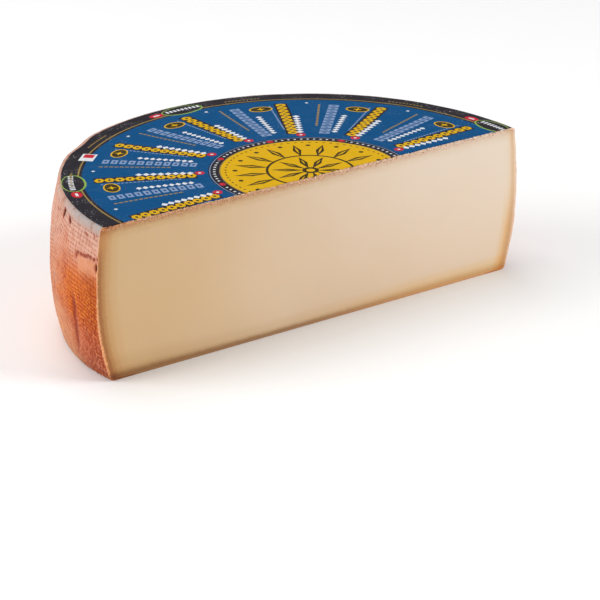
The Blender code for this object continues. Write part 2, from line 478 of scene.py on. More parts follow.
def fill_outline(points, outline_ids, inner_ids, axes):
    """Triangles of point indices inside a closed outline, seen flat in two of the axes.

    The places go to millimetres first, because Delaunay's rule merges points by distance."""
    ids = np.concatenate([outline_ids, inner_ids])
    places = [Vector(place) / MM for place in points[ids][:, axes]]
    count = len(outline_ids)
    border = [(index, (index + 1) % count) for index in range(count)]
    filled = delaunay_2d_cdt(places, border, [], 1, CLOSEST)
    triangles, source = filled[2], filled[3]
    return ids[[[source[corner][0] for corner in triangle] for triangle in triangles]]


def grid_points(low, high, spacing):
    """The middle points of a grid of squares over a rectangle."""
    across = np.arange(low[0] + spacing / 2, high[0], spacing)
    up = np.arange(low[1] + spacing / 2, high[1], spacing)
    return np.stack(np.meshgrid(across, up), axis=-1).reshape(-1, 2)


def add_points(points, more):
    """The points with more after them, and the indices of the new ones."""
    return np.concatenate([points, more]), np.arange(len(points), len(points) + len(more))


# %% Points on the cut face, under the label and under the foot
FINE_BAND = 6 * MM
FINE_GRID = 1.0 * MM
COARSE_GRID = 4.0 * MM
CLEAR_OF_OUTLINE = 0.55 * MM
LINE_SPACING = 0.8 * MM
CHIPPED_TOP = 0.3 * MM
CHIPS = dict(size=1.9 * MM, shift=9.0, middle=0.0, spread=1.0)

skin_ids = np.arange(len(skin_points)).reshape(len(row_radii), column_count)
right_ids, left_ids = skin_ids[:, 0], skin_ids[:, -1]


def cut_line(radius, height):
    """Points along the cut from its left end to its right, under the label or under the foot."""
    half = math.sqrt(radius**2 - CUT_AHEAD**2)
    across = np.arange(-half + LINE_SPACING, half - LINE_SPACING / 2, LINE_SPACING)
    level = np.full_like(across, height)
    behind = -CUT_AHEAD + ragged(across, level)
    return np.stack([across, behind, level], axis=-1)


def top_line():
    line = cut_line(UNDER_LABEL_RADIUS, WHEEL_HEIGHT)
    line[:, 2] += top_lift(line) - CHIPPED_TOP * uneven(line, **CHIPS)
    return line


def cut_face_points():
    """Places on the cut: a fine grid near the rind, and a coarse one in the paste."""
    low = (-WIDEST_RADIUS, 0.0)
    high = (WIDEST_RADIUS, WHEEL_HEIGHT)
    fine = grid_points(low, high, FINE_GRID)
    depth = under_skin(*fine.T)
    fine = fine[(depth > CLEAR_OF_OUTLINE) & (depth < FINE_BAND)]
    coarse = grid_points(low, high, COARSE_GRID)
    coarse = coarse[under_skin(*coarse.T) >= FINE_BAND + FINE_GRID / 2]
    return np.concatenate([fine, coarse])


def level_points(radius, height, spacing):
    """A grid of points inside a ring and behind the cut."""
    places = grid_points((-radius, -CUT_AHEAD + spacing / 2), (radius, radius), spacing)
    places = places[np.hypot(*places.T) < radius - spacing / 2]
    return np.column_stack([places, np.full(len(places), height)])


# %% Close the skin with the cut face
points = skin_points.copy()
for end_ids in (right_ids, left_ids):
    points[end_ids, 1] = -CUT_AHEAD + ragged(points[end_ids, 0], points[end_ids, 2])
points, top_ids = add_points(points, top_line())
points, base_ids = add_points(points, cut_line(UNDER_FOOT_RADIUS, 0.0))

inner_places = cut_face_points()
inner_depths = under_side(*inner_places.T)
behind = -CUT_AHEAD + ragged(*inner_places.T)
inner_points = np.column_stack([inner_places[:, 0], behind, inner_places[:, 1]])
points, cut_ids = add_points(points, inner_points)
cut_outline = np.concatenate([left_ids, base_ids, right_ids[::-1], top_ids[::-1]])
cut_faces = fill_outline(points, cut_outline, cut_ids, [0, 2])

# %% Close the skin with the top and the foot
top_inner = level_points(UNDER_LABEL_RADIUS, WHEEL_HEIGHT, COARSE_GRID)
top_inner[:, 2] += top_lift(top_inner)
points, inner_ids = add_points(points, top_inner)
top_outline = np.concatenate([skin_ids[0], top_ids])
top_faces = fill_outline(points, top_outline, inner_ids, [0, 1])

points, inner_ids = add_points(points, level_points(UNDER_FOOT_RADIUS, 0.0, COARSE_GRID))
base_outline = np.concatenate([skin_ids[-1], base_ids])
base_faces = fill_outline(points, base_outline, inner_ids, [0, 1])[:, ::-1]
print("triangles on the cut, top and foot:", len(cut_faces), len(top_faces), len(base_faces))

# %% Where the cloth pressed on the skin, and other values of the points
RIM_FADE = 3.0 * MM
END_FADE = 1.5 * MM
TAG_SMOOTHNESS = 0.85


def cloth_cover():
    """Where the cloth could press on the skin: the side, but not its ends or the smooth tag."""
    rim = smooth_step((WHEEL_HEIGHT - TOP_ROUND - heights) / RIM_FADE)
    foot = smooth_step(heights / RIM_FADE)
    from_end = np.minimum(angles - RIGHT_END, LEFT_END - angles) * WIDEST_RADIUS
    return rim * foot * smooth_step(from_end / END_FADE) * (1.0 - TAG_SMOOTHNESS * skin_tag)


def on_all(skin_values):
    """Values of the skin's vertices, with 0 at all the others."""
    return np.concatenate([skin_values, np.zeros(len(points) - len(skin_values))])


depths = np.zeros(len(points))
depths[cut_ids] = inner_depths / MM
for line_ids in (top_ids, base_ids):
    depths[line_ids] = under_side(points[line_ids, 0], points[line_ids, 2]) / MM
threads_across = np.broadcast_to(np.arange(column_count) / COLUMNS_PER_THREAD, skin_radii.shape)
threads_down = np.broadcast_to(row_threads[:, None], skin_radii.shape)
attributes = {
    "warp": on_all(threads_across.ravel()),
    "weft": on_all(threads_down.ravel()),
    "cover": on_all(cloth_cover()),
    "scar": on_all(skin_scars),
    "tag": on_all(skin_tag),
    "mm_from_side": depths,
}

# %% Make the half wheel's mesh and write its attributes
corners = [skin_ids[:-1, :-1], skin_ids[1:, :-1], skin_ids[1:, 1:], skin_ids[:-1, 1:]]
sides = np.stack(corners, axis=-1).reshape(-1, 4)
faces = [*sides.tolist(), *top_faces.tolist(), *base_faces.tolist(), *cut_faces.tolist()]
wheel_mesh = bpy.data.meshes.new("cheese_half")
wheel_mesh.from_pydata((points + AXIS_PLACE).tolist(), [], faces)
for name, values in attributes.items():
    wheel_mesh.attributes.new(name, "FLOAT", "POINT").data.foreach_set("value", values)
on_skin = np.arange(len(faces)) < len(faces) - len(cut_faces)
wheel_mesh.attributes.new("skin_face", "BOOLEAN", "FACE").data.foreach_set("value", on_skin)
wheel_mesh.shade_smooth()
print("half wheel:", len(wheel_mesh.vertices), "vertices,", len(faces), "faces")

# %% [markdown]
# ## Helpers for node trees
# Materials and Geometry Nodes are both trees of nodes, and many of their nodes are the same.
# A few short helpers make a tree read like a formula: `feed` gives a socket either a plain value
# or a wire, and the others add one kind of node each and return its output.

# %% Feed a socket and add a node
def feed(tree, socket, value):
    """Wires a socket, or sets it where the value is a plain one."""
    if isinstance(value, bpy.types.NodeSocket):
        tree.links.new(value, socket)
    else:
        socket.default_value = value


def feed_all(tree, node, feeds):
    for name, value in feeds.items():
        feed(tree, node.inputs[name], value)


def add(tree, kind, feeds=None, **settings):
    """Adds a node, with its settings and what its named sockets get."""
    node = tree.nodes.new(kind)
    for name, value in settings.items():
        setattr(node, name, value)
    feed_all(tree, node, feeds or {})
    return node


def out(tree, kind, feeds=None, **settings):
    """Adds a node and returns its first output."""
    return add(tree, kind, feeds, **settings).outputs[0]


# %% Sums, fades and clouds, for any node tree
def maths(tree, operation, *values):
    return out(tree, "ShaderNodeMath", dict(enumerate(values)), operation=operation)


def times(tree, first, *more):
    """The product of several values."""
    for value in more:
        first = maths(tree, "MULTIPLY", first, value)
    return first


def axes_of(tree, place):
    """A place's three coordinates: across the cut, towards the back, and up."""
    return add(tree, "ShaderNodeSeparateXYZ", {"Vector": place}).outputs


def fade(tree, value, start, end, first=0.0, last=1.0):
    """Goes smoothly from first to last while a value goes from start to end."""
    feeds = {"Value": value, "From Min": start, "From Max": end, "To Min": first, "To Max": last}
    return out(tree, "ShaderNodeMapRange", feeds, interpolation_type="SMOOTHSTEP")


def cloudy(tree, place, size_mm, detail, pattern, stretch=(1.0, 1.0, 1.0)):
    """Soft noise from about 0 to 1, whose lumps have a size in mm."""
    scale = [share / (size_mm * MM) for share in stretch]
    scaled = out(tree, "ShaderNodeVectorMath", {0: place, 1: scale}, operation="MULTIPLY")
    feeds = {"Vector": scaled, "W": pattern, "Scale": 1.0, "Detail": detail}
    return out(tree, "ShaderNodeTexNoise", feeds, noise_dimensions="4D")


def clouds_of(tree, place, table):
    """Every cloud of a table by its name."""
    return {name: cloudy(tree, place, *cloud) for name, cloud in table.items()}


# %% The grooves of the cloth, as a pattern that both kinds of tree can read
# Clouds: size in mm, detail and pattern
BROKEN_CLOUD = (2.8, 2.0, 8.0)
UPRIGHT_CLOUD = (9, 2.0, 7.0)


def groove_lines(tree, threads, width):
    """1 in a groove at every whole number of threads, and 0 between them."""
    wave = maths(tree, "ABSOLUTE", maths(tree, "SINE", times(tree, threads, math.pi)))
    return fade(tree, wave, 0.0, width, 1.0, 0.0)


def groove_pattern(tree, place, warp, weft):
    """The grooves of the cloth: level rows of dents, joined where upright grooves show too."""
    height = axes_of(tree, place)["Z"]
    worn_low = fade(tree, height, 18 * MM, 40 * MM, 0.25, 1.0)
    upright_high = fade(tree, height, 50 * MM, 72 * MM, 0.3, 0.85)
    broken = fade(tree, cloudy(tree, place, *BROKEN_CLOUD), 0.34, 0.58, 0.45, 1.05)
    comes_and_goes = fade(tree, cloudy(tree, place, *UPRIGHT_CLOUD), 0.46, 0.64, 0.1, 1.0)
    dent_share = fade(tree, height, 58 * MM, 74 * MM, 0.72, 0.35)
    upright = times(tree, groove_lines(tree, warp, 0.6), comes_and_goes, upright_high)
    dents = fade(tree, groove_lines(tree, warp, 1.0), 0.1, 0.7, dent_share, 1.1)
    level = times(tree, groove_lines(tree, weft, 0.75), worn_low, dents)
    return times(tree, maths(tree, "MAXIMUM", upright, level), broken)


# %% Begin and end a geometry tree
def geometry_tree(name, inputs):
    """A tree with named inputs. Returns it with its input sockets and its output socket."""
    tree = bpy.data.node_groups.new(name, "GeometryNodeTree")
    sockets = tree.interface
    sockets.new_socket("Geometry", in_out="INPUT", socket_type="NodeSocketGeometry")
    for label, kind in inputs.items():
        sockets.new_socket(label, in_out="INPUT", socket_type="NodeSocket" + kind)
    sockets.new_socket("Geometry", in_out="OUTPUT", socket_type="NodeSocketGeometry")
    given = tree.nodes.new("NodeGroupInput").outputs
    return tree, given, tree.nodes.new("NodeGroupOutput").inputs["Geometry"]


def finish_tree(tree, result, geometry, material, selection=True):
    """Ends a tree in real faces with a material, because the export drops instances."""
    real = out(tree, "GeometryNodeRealizeInstances", {"Geometry": geometry})
    feeds = {"Geometry": real, "Selection": selection, "Material": material}
    feed(tree, result, out(tree, "GeometryNodeSetMaterial", feeds))
    return tree


# %% Run a geometry tree and keep a plain mesh
def plain_mesh(carrier):
    """The mesh of an object with its modifiers applied. The object itself is removed."""
    graph = bpy.context.evaluated_depsgraph_get()
    mesh = bpy.data.meshes.new_from_object(
        carrier.evaluated_get(graph), preserve_all_data_layers=True, depsgraph=graph
    )
    bpy.data.objects.remove(carrier)
    return mesh


def run_tree(mesh, tree, values):
    """Runs a tree on a mesh and returns a plain mesh of what it makes."""
    carrier = bpy.data.objects.new(tree.name, mesh)
    bpy.context.scene.collection.objects.link(carrier)
    modifier = carrier.modifiers.new(tree.name, "NODES")
    modifier.node_group = tree
    for socket in tree.interface.items_tree:
        if socket.in_out == "INPUT" and socket.name in values:
            modifier[socket.identifier] = values[socket.name]
    return plain_mesh(carrier)


def place_mesh(mesh, name):
    """Puts a finished mesh in the scene as an object at the origin."""
    mesh.name = name
    piece = bpy.data.objects.new(name, mesh)
    bpy.context.scene.collection.objects.link(piece)
    return piece


def named(tree, name, kind="FLOAT"):
    return out(tree, "GeometryNodeInputNamedAttribute", {"Name": name}, data_type=kind)


# %% Begin a material and mix its colours
def material_tree(name):
    """A new material with its tree, its shader node and the place on the object."""
    finish = bpy.data.materials.new(name)
    finish.use_nodes = True
    tree = finish.node_tree
    shader = tree.nodes["Principled BSDF"]
    place = tree.nodes.new("ShaderNodeTexCoord").outputs["Object"]
    return finish, tree, shader, place


def attribute(tree, name):
    return add(tree, "ShaderNodeAttribute", attribute_name=name).outputs["Fac"]


def blend(tree, share, first, second, how="MIX"):
    """Mixes two colours. A share of 1 gives the second."""
    node = add(tree, "ShaderNodeMix", data_type="RGBA", blend_type=how)
    for socket, value in {0: share, 6: first, 7: second}.items():
        feed(tree, node.inputs[socket], (*value, 1.0) if isinstance(value, tuple) else value)
    return node.outputs[2]


def tinted(tree, share, colour, tint):
    """A colour multiplied by a tint, as far as the share says."""
    return blend(tree, share, colour, tint, "MULTIPLY")


# %% Ramps of colour, and bumps
def colour_steps(tree, share, stops, how="EASE"):
    """A colour that passes smoothly through stops of (share, colour)."""
    node = add(tree, "ShaderNodeValToRGB", {"Fac": share})
    ramp = node.color_ramp
    ramp.interpolation = how
    while len(ramp.elements) < len(stops):
        ramp.elements.new(1.0)
    for element, (position, colour) in zip(ramp.elements, stops):
        element.position = position
        element.color = (*colour, 1.0)
    return node.outputs["Color"]


def bump(tree, heights_and_depths, normal=None):
    """Stacks bumps, each a height from 0 to 1 and its depth in metres."""
    for height, depth in heights_and_depths:
        node = add(tree, "ShaderNodeBump", {"Height": height, "Distance": depth, "Strength": 1.0})
        if normal is not None:
            tree.links.new(normal, node.inputs["Normal"])
        normal = node.outputs["Normal"]
    return normal


# %% [markdown]
# ## The rind
# The rind of a washed cheese is orange where the brine was rubbed in, redder and darker low
# down, and pale pink near the rim, where a thin bloom has dried on it. The bloom sits on the
# raised skin between the threads' grooves. All of this follows the height and the cloth, so the
# material reads the vertices' attributes as well as the place.

# %% Rind colours
RIND_BY_HEIGHT = [
    (0.00, (0.15, 0.028, 0.010)),
    (0.05, (0.34, 0.062, 0.021)),
    (0.18, (0.45, 0.082, 0.022)),
    (0.34, (0.49, 0.082, 0.009)),
    (0.48, (0.56, 0.098, 0.004)),
    (0.66, (0.58, 0.130, 0.012)),
    (0.80, (0.56, 0.190, 0.095)),
    (0.92, (0.50, 0.260, 0.190)),
    (0.985, (0.39, 0.345, 0.330)),
]
BLOOM = (0.65, 0.375, 0.285)
# Painted highlight on the ridges' tops: orange on the middle of the side, salmon low down.
RIDGE_HIGHLIGHT = (0.75, 0.235, 0.018)
LOW_FLECK_AND_HIGHLIGHT = (0.64, 0.22, 0.11)
# The cloth's grooves are tinted red-brown, partly their own colour and partly painted shade that
# deepens the grooves.
GROOVE_TINT_AND_SHADE = (0.50, 0.19, 0.11)
BLOTCH_TINT = (0.68, 0.42, 0.30)
# Dents are dark red, partly the rind's own colour and partly painted shade; the deepest pits get
# near-black painted shade.
SCAR = (0.26, 0.034, 0.012)
PIT_SHADE = (0.035, 0.012, 0.007)
TAG_PALE = (0.66, 0.27, 0.13)
NEAR_CUT = (0.74, 0.62, 0.42)
# A pale line along the rind's broken edge at the cut, partly pale broken rind and partly a painted
# highlight where the edge catches the light.
BROKEN_EDGE_HIGHLIGHT = (0.82, 0.43, 0.25)
# Painted sheen on the rind towards the back left, and below it painted warm light reflected up from
# the ground.
PAINTED_LIMB_SHEEN = (0.58, 0.29, 0.20)
PAINTED_LIMB_BOUNCE = (0.66, 0.30, 0.13)
UNDER_DARK = (0.40, 0.13, 0.055)
UNDER_PALE = (0.58, 0.27, 0.15)
UNDER_GROOVE = (0.66, 0.50, 0.42)
UNDER_THREAD = 2.7 * MM
# Clouds: size in mm, detail, pattern, and perhaps a stretch
RIND_CLOUDS = {
    "wander": (40, 4.0, 1.0),
    "limb_light": (11, 3.0, 10.0),
    "patches": (16, 4.0, 2.0),
    "flecks": (1.5, 3.0, 3.0),
    "blotches": (5, 5.0, 4.0),
    "strokes": (1.6, 3.0, 9.0, (1.0, 1.0, 0.8)),
    "pores": (0.9, 2.0, 5.0),
    "leather": (3.2, 4.0, 6.0),
}


# %% The rind's ground colour
def rind_ground(tree, clouds, across, behind_cut, height):
    """Colour by height, yellower near the cut, and paler towards the back left, where a painted
    sheen stands in for light along the wheel's edge, warmed low down by painted reflected light.
    """
    wander = times(tree, clouds["wander"], 30 * MM)
    wandering = maths(tree, "ADD", height, maths(tree, "SUBTRACT", wander, 15 * MM))
    near_rim = fade(tree, height, 0.80 * WHEEL_HEIGHT, 0.95 * WHEEL_HEIGHT)
    level = out(tree, "ShaderNodeMix", {"Factor": near_rim, "A": wandering, "B": height})
    share = maths(tree, "DIVIDE", level, WHEEL_HEIGHT)
    colour = colour_steps(tree, share, RIND_BY_HEIGHT, "B_SPLINE")
    near_cut = times(
        tree,
        fade(tree, behind_cut, 2 * MM, 24 * MM, 1.0, 0.0),
        fade(tree, height, 0.8 * WHEEL_HEIGHT, 0.55 * WHEEL_HEIGHT),
    )
    colour = tinted(tree, near_cut, colour, NEAR_CUT)
    # Painted sheen: a pale patch where the side turns away towards the back left, with painted warm
    # reflected light low down.
    nearer_low = fade(tree, height, 24 * MM, 38 * MM, 14 * MM, 0.0)
    painted_limb_light = times(
        tree,
        fade(tree, maths(tree, "ADD", behind_cut, nearer_low), 28 * MM, 62 * MM),
        fade(tree, across, 0.0, -60 * MM),
        fade(tree, clouds["limb_light"], 0.25, 0.6, 0.35, 0.85),
    )
    pale = blend(tree, fade(tree, height, 18 * MM, 46 * MM), PAINTED_LIMB_BOUNCE, PAINTED_LIMB_SHEEN)
    return blend(tree, painted_limb_light, colour, pale)


# %% What the cloth, the shelf and the knife did to the rind's colour
def one_value_per_cell(tree, warp, weft):
    """A random value from 0 to 1 for each cell between the cloth's threads."""
    feeds = {"X": maths(tree, "FLOOR", warp), "Y": maths(tree, "FLOOR", weft)}
    cell = out(tree, "ShaderNodeCombineXYZ", feeds)
    return out(tree, "ShaderNodeTexWhiteNoise", {"Vector": cell}, noise_dimensions="2D")


def raised_skin(tree, colour, height, ridges, strokes):
    """Painted highlight: bright strokes on the ridges between the grooves, orange above and salmon
    low down.
    """
    low = fade(tree, height, 0.78 * WHEEL_HEIGHT, 0.45 * WHEEL_HEIGHT, 0.1, 1.0)
    raised = blend(tree, fade(tree, height, 22 * MM, 42 * MM), LOW_FLECK_AND_HIGHLIGHT, RIDGE_HIGHLIGHT)
    bright = times(tree, ridges, fade(tree, strokes, 0.46, 0.60), low, 0.6)
    return blend(tree, bright, colour, raised)


def underside(tree, colour, across, behind, height, patches):
    """Red-brown skin with the weave of the shelf's cloth. Returns the weave too."""
    under = fade(tree, height, 0.4 * MM, 2.0 * MM, 1.0, 0.0)
    threads = [maths(tree, "DIVIDE", axis, UNDER_THREAD) for axis in (across, behind)]
    weave = maths(tree, "MAXIMUM", *(groove_lines(tree, count, 0.7) for count in threads))
    weave = times(tree, weave, under, patches)
    stood_on = blend(tree, patches, UNDER_DARK, UNDER_PALE)
    colour = blend(tree, times(tree, under, 0.8), colour, stood_on)
    return tinted(tree, weave, colour, UNDER_GROOVE), weave


def bloomed(tree, colour, height, cells, flecks, patches, ridges):
    """Pale bloom on the raised skin near the rim, stronger in some cells than in others."""
    high = fade(tree, height, 0.60 * WHEEL_HEIGHT, 0.84 * WHEEL_HEIGHT, 0.02, 1.0)
    below_rim = fade(tree, height, 0.97 * WHEEL_HEIGHT, 0.92 * WHEEL_HEIGHT)
    by_cell = fade(tree, maths(tree, "ADD", cells, flecks), 0.55, 1.15, 0.34, 0.8)
    bloom = times(tree, patches, high, ridges, by_cell, below_rim)
    return blend(tree, bloom, colour, BLOOM)


def scarred(tree, colour, height, behind_cut, flecks):
    """Dark scars, partly painted shade, with near-black painted shade in the deepest pits, and the
    pale broken edge along the cut, partly a painted highlight.
    """
    scar = attribute(tree, "scar")
    colour = blend(tree, fade(tree, scar, 0.05, 0.88, 0.0, 0.88), colour, SCAR)
    colour = blend(tree, fade(tree, scar, 1.05, 1.55, 0.0, 0.92), colour, PIT_SHADE)
    # The pale broken edge: partly broken rind, partly painted highlight along the cut's edge.
    ragged_depth = maths(tree, "MULTIPLY_ADD", flecks, 3 * MM, behind_cut)
    broken = times(
        tree,
        fade(tree, ragged_depth, 1.4 * MM, 2.3 * MM, 0.85, 0.0),
        fade(tree, height, 66 * MM, 76 * MM, 1.0, 0.25),
    )
    return blend(tree, broken, colour, BROKEN_EDGE_HIGHLIGHT)


# %% The rind
def rind_material():
    finish, tree, shader, place = material_tree("rind")
    across, behind, height = axes_of(tree, place)
    behind_cut = maths(tree, "SUBTRACT", behind, AXIS_Y - CUT_AHEAD)
    warp, weft = attribute(tree, "warp"), attribute(tree, "weft")
    grooves = times(tree, groove_pattern(tree, place, warp, weft), attribute(tree, "imprint"))
    ridges = maths(tree, "SUBTRACT", 1.0, grooves)
    cells = one_value_per_cell(tree, warp, weft)
    clouds = clouds_of(tree, place, RIND_CLOUDS)
    patches = fade(tree, clouds["patches"], 0.22, 0.56, 0.2, 1.0)
    blotches = fade(tree, clouds["blotches"], 0.47, 0.68, 0.0, 0.75)
    pores = fade(tree, clouds["pores"], 0.3, 0.7)
    flecks, strokes, leather = clouds["flecks"], clouds["strokes"], clouds["leather"]

    colour = rind_ground(tree, clouds, across, behind_cut, height)
    colour = tinted(tree, blotches, colour, BLOTCH_TINT)
    colour = raised_skin(tree, colour, height, ridges, strokes)
    colour, weave = underside(tree, colour, across, behind, height, patches)
    colour = bloomed(tree, colour, height, cells, flecks, patches, ridges)
    colour = blend(tree, times(tree, attribute(tree, "tag"), 0.5), colour, TAG_PALE)
    # Grooves darkened: partly red-brown colour, partly painted shade.
    colour = tinted(tree, grooves, colour, GROOVE_TINT_AND_SHADE)
    colour = scarred(tree, colour, height, behind_cut, flecks)

    woven = maths(tree, "SUBTRACT", 1.0, weave)
    steps = [(leather, 0.5 * MM), (strokes, 0.5 * MM), (pores, 0.12 * MM), (woven, 0.4 * MM)]
    look = {
        "Base Color": colour,
        "Roughness": fade(tree, flecks, 0.3, 0.7, 0.48, 0.72),
        "Normal": bump(tree, steps),
        "Specular IOR Level": 0.12,
        "Subsurface Weight": 0.08,
        "Subsurface Radius": (1.0, 0.45, 0.25),
        "Subsurface Scale": 1.5 * MM,
        "Sheen Weight": 0.35,
        "Sheen Roughness": 0.18,
        "Sheen Tint": (1.0, 0.82, 0.72, 1.0),
    }
    feed_all(tree, shader, look)
    return finish


rind = rind_material()
print("rind nodes:", len(rind.node_tree.nodes))

# %% [markdown]
# ## The paste
# The cut paste is cream, smooth and a little moist. It grows darker and drier towards the rind:
# a tan band 4 to 8 mm wide along the sides, a crumbly one along the top, and a brown one at the
# foot, which is partly painted shade where the cheese meets the floor. Each band is a ramp of
# tints by the depth under that skin, and the paste is multiplied by all of them, so the bands run
# into each other at the corners as they do on the real cheese.

# %% Paste colours
# The paste grows deeper from right to left, partly in its own colour and partly as painted shade on
# the end away from the light.
PASTE_RIGHT = (0.80, 0.665, 0.535)
PASTE_LEFT_WITH_SHADE = (0.64, 0.42, 0.21)
# Tints by height, which partly paint extra light onto the lower face.
PASTE_UP = (1.01, 1.02, 1.04)
PASTE_DOWN_WITH_LIGHT = [
    (0.00, (1.01, 0.95, 0.87)),
    (0.45, (1.03, 1.00, 0.97)),
    (0.68, (1.08, 1.11, 1.16)),
    (1.00, (1.04, 1.04, 1.04)),
]
GOLDEN = (0.90, 0.65, 0.45)
LEFT_FOOT_SHRINK = 0.64
CRUMB_PALE = (1.22, 1.12, 1.12)
CRUMB_SHADE = (0.90, 0.75, 0.67)
CRUMB_SPECK = (0.50, 0.28, 0.22)
# Clouds: size in mm, detail, pattern, and perhaps a stretch
PASTE_CLOUDS = {
    "wide": (60, 2.0, 12.0),
    "unsteady": (4.5, 3.0, 11.0),
    "crumbling": (1.4, 2.0, 17.0),
    "grains": (1.2, 3.0, 13.0),
    "specks": (0.8, 2.0, 16.0),
    "streaks": (2.2, 3.0, 14.0, (0.04, 1.0, 1.0)),
    "curd": (1.6, 3.0, 15.0),
}

# %% Tints of the paste by depth in mm under its side, top and foot
BAND_REACH_MM = 16.0
LEFT_BAND = [
    # The first two stops paint a pale line along the left edge, partly broken rind and partly
    # painted highlight.
    (0.0, (1.20, 0.92, 0.82)),
    (0.7, (1.14, 0.86, 0.74)),
    (1.4, (0.61, 0.35, 0.19)),
    (2.6, (0.60, 0.35, 0.19)),
    (4.2, (0.74, 0.54, 0.35)),
    (7.0, (0.90, 0.78, 0.64)),
    (11.0, (0.96, 0.92, 0.87)),
    (16.0, (1.00, 1.00, 1.00)),
]
RIGHT_BAND = [
    (0.0, (1.00, 0.93, 0.88)),
    (1.5, (0.98, 0.89, 0.82)),
    (2.5, (0.88, 0.72, 0.56)),
    (3.9, (0.91, 0.76, 0.58)),
    (5.6, (0.98, 0.92, 0.82)),
    (8.0, (1.00, 0.99, 0.96)),
    (12.0, (1.00, 1.00, 1.00)),
]
LOWER_RIGHT_BAND = [
    (0.0, (0.98, 0.86, 0.78)),
    (0.9, (0.92, 0.78, 0.68)),
    (2.4, (0.75, 0.54, 0.36)),
    (3.9, (0.82, 0.57, 0.33)),
    (5.4, (0.91, 0.67, 0.40)),
    (6.9, (0.97, 0.79, 0.55)),
    (8.4, (0.98, 0.88, 0.70)),
    (12.0, (1.00, 1.00, 1.00)),
]
TOP_BAND = [
    (0.0, (1.04, 0.91, 0.82)),
    (0.7, (1.00, 0.86, 0.76)),
    (1.5, (0.77, 0.62, 0.52)),
    (2.6, (0.79, 0.66, 0.55)),
    (3.8, (0.85, 0.74, 0.63)),
    (5.2, (0.93, 0.89, 0.83)),
    (9.0, (1.00, 1.00, 1.00)),
]
# The brown band at the foot is partly the paste's own colour and partly painted shade where the
# cheese meets the floor.
SHADED_FOOT_BAND = [
    (0.0, (0.55, 0.40, 0.28)),
    (1.5, (0.47, 0.33, 0.23)),
    (2.3, (0.55, 0.43, 0.31)),
    (3.0, (0.72, 0.63, 0.51)),
    (3.9, (0.87, 0.81, 0.72)),
    (5.5, (0.94, 0.91, 0.85)),
    (12.0, (1.00, 1.00, 1.00)),
]
# The same at the right end, paler, still partly painted shade along its lowest millimetres.
SHADED_RIGHT_FOOT_BAND = [
    (0.0, (0.72, 0.46, 0.25)),
    (1.0, (0.86, 0.57, 0.31)),
    (2.2, (0.80, 0.57, 0.33)),
    (3.6, (0.86, 0.70, 0.45)),
    (5.2, (0.95, 0.83, 0.61)),
    (7.2, (1.00, 0.93, 0.78)),
    (12.0, (1.00, 1.00, 1.00)),
]


def band(tree, depth_mm, stops):
    shares = [(depth / BAND_REACH_MM, tint) for depth, tint in stops]
    return colour_steps(tree, maths(tree, "DIVIDE", depth_mm, BAND_REACH_MM), shares)


def two_bands(tree, share, depth_mm, first, second):
    """A band that passes from one list of stops to another."""
    return blend(tree, share, band(tree, depth_mm, first), band(tree, depth_mm, second))


# %% The paste's ground colour and its bands
def paste_ground(tree, clouds, across, height):
    """Cream, deeper towards the left end partly as painted shade, with wide soft clouds, and tints
    by height that partly paint light onto the lower face.
    """
    to_left = fade(tree, across, 1.1 * WIDEST_RADIUS, -1.1 * WIDEST_RADIUS)
    wide = maths(tree, "SUBTRACT", clouds["wide"], 0.5)
    clouded = maths(tree, "MULTIPLY_ADD", wide, 0.3, to_left)
    up = fade(tree, height, 0.0, WHEEL_HEIGHT)
    down = colour_steps(tree, to_left, PASTE_DOWN_WITH_LIGHT)
    cream = blend(tree, clouded, PASTE_RIGHT, PASTE_LEFT_WITH_SHADE)
    return tinted(tree, 1.0, cream, blend(tree, up, down, PASTE_UP))


def paste_bands(tree, across, height, from_side, edge_side, edge_top, edge_foot):
    """The tints under the side, the top and the foot; the foot's is partly painted shade."""
    left = fade(tree, across, 0.4 * WIDEST_RADIUS, -0.4 * WIDEST_RADIUS)
    low = fade(tree, height, 0.65 * WHEEL_HEIGHT, 0.25 * WHEEL_HEIGHT)
    right_side = two_bands(tree, low, edge_side, RIGHT_BAND, LOWER_RIGHT_BAND)
    side = blend(tree, left, right_side, band(tree, edge_side, LEFT_BAND))
    near_top = fade(tree, height, 0.74 * WHEEL_HEIGHT, 0.95 * WHEEL_HEIGHT, 0.0, 0.75)
    golden = times(tree, near_top, fade(tree, from_side, 10.0, 3.0))
    side = blend(tree, times(tree, left, golden), side, GOLDEN)
    faint_right = fade(tree, across, -0.3 * WIDEST_RADIUS, 0.8 * WIDEST_RADIUS, 0.0, 0.55)
    top = blend(tree, faint_right, band(tree, edge_top, TOP_BAND), (1.0, 1.0, 1.0))
    far_right = fade(tree, across, -0.2 * WIDEST_RADIUS, 0.6 * WIDEST_RADIUS)
    return side, top, two_bands(tree, far_right, edge_foot, SHADED_FOOT_BAND, SHADED_RIGHT_FOOT_BAND)


# %% The paste's uneven edges and its crumbly top
def paste_edges(tree, clouds, across, height, from_side):
    """Depths in mm under the side, the top and the foot, made uneven by two clouds."""
    unsteady = maths(tree, "SUBTRACT", clouds["unsteady"], 0.5)
    crumbling = maths(tree, "SUBTRACT", clouds["crumbling"], 0.5)
    from_top = maths(tree, "DIVIDE", maths(tree, "SUBTRACT", WHEEL_HEIGHT, height), MM)
    from_foot = maths(tree, "DIVIDE", height, MM)
    edge_side, edge_top, edge_foot = (
        maths(tree, "MULTIPLY_ADD", unsteady, how_uneven, depth)
        for depth, how_uneven in ((from_side, 1.2), (from_top, 3.6), (from_foot, 1.2))
    )
    edge_side = maths(tree, "MULTIPLY_ADD", crumbling, 1.8, edge_side)
    edge_top = maths(tree, "MULTIPLY_ADD", crumbling, 2.0, edge_top)
    thinner_left = (-0.9 * WIDEST_RADIUS, -0.2 * WIDEST_RADIUS, LEFT_FOOT_SHRINK, 1.0)
    return edge_side, edge_top, times(tree, edge_foot, fade(tree, across, *thinner_left))


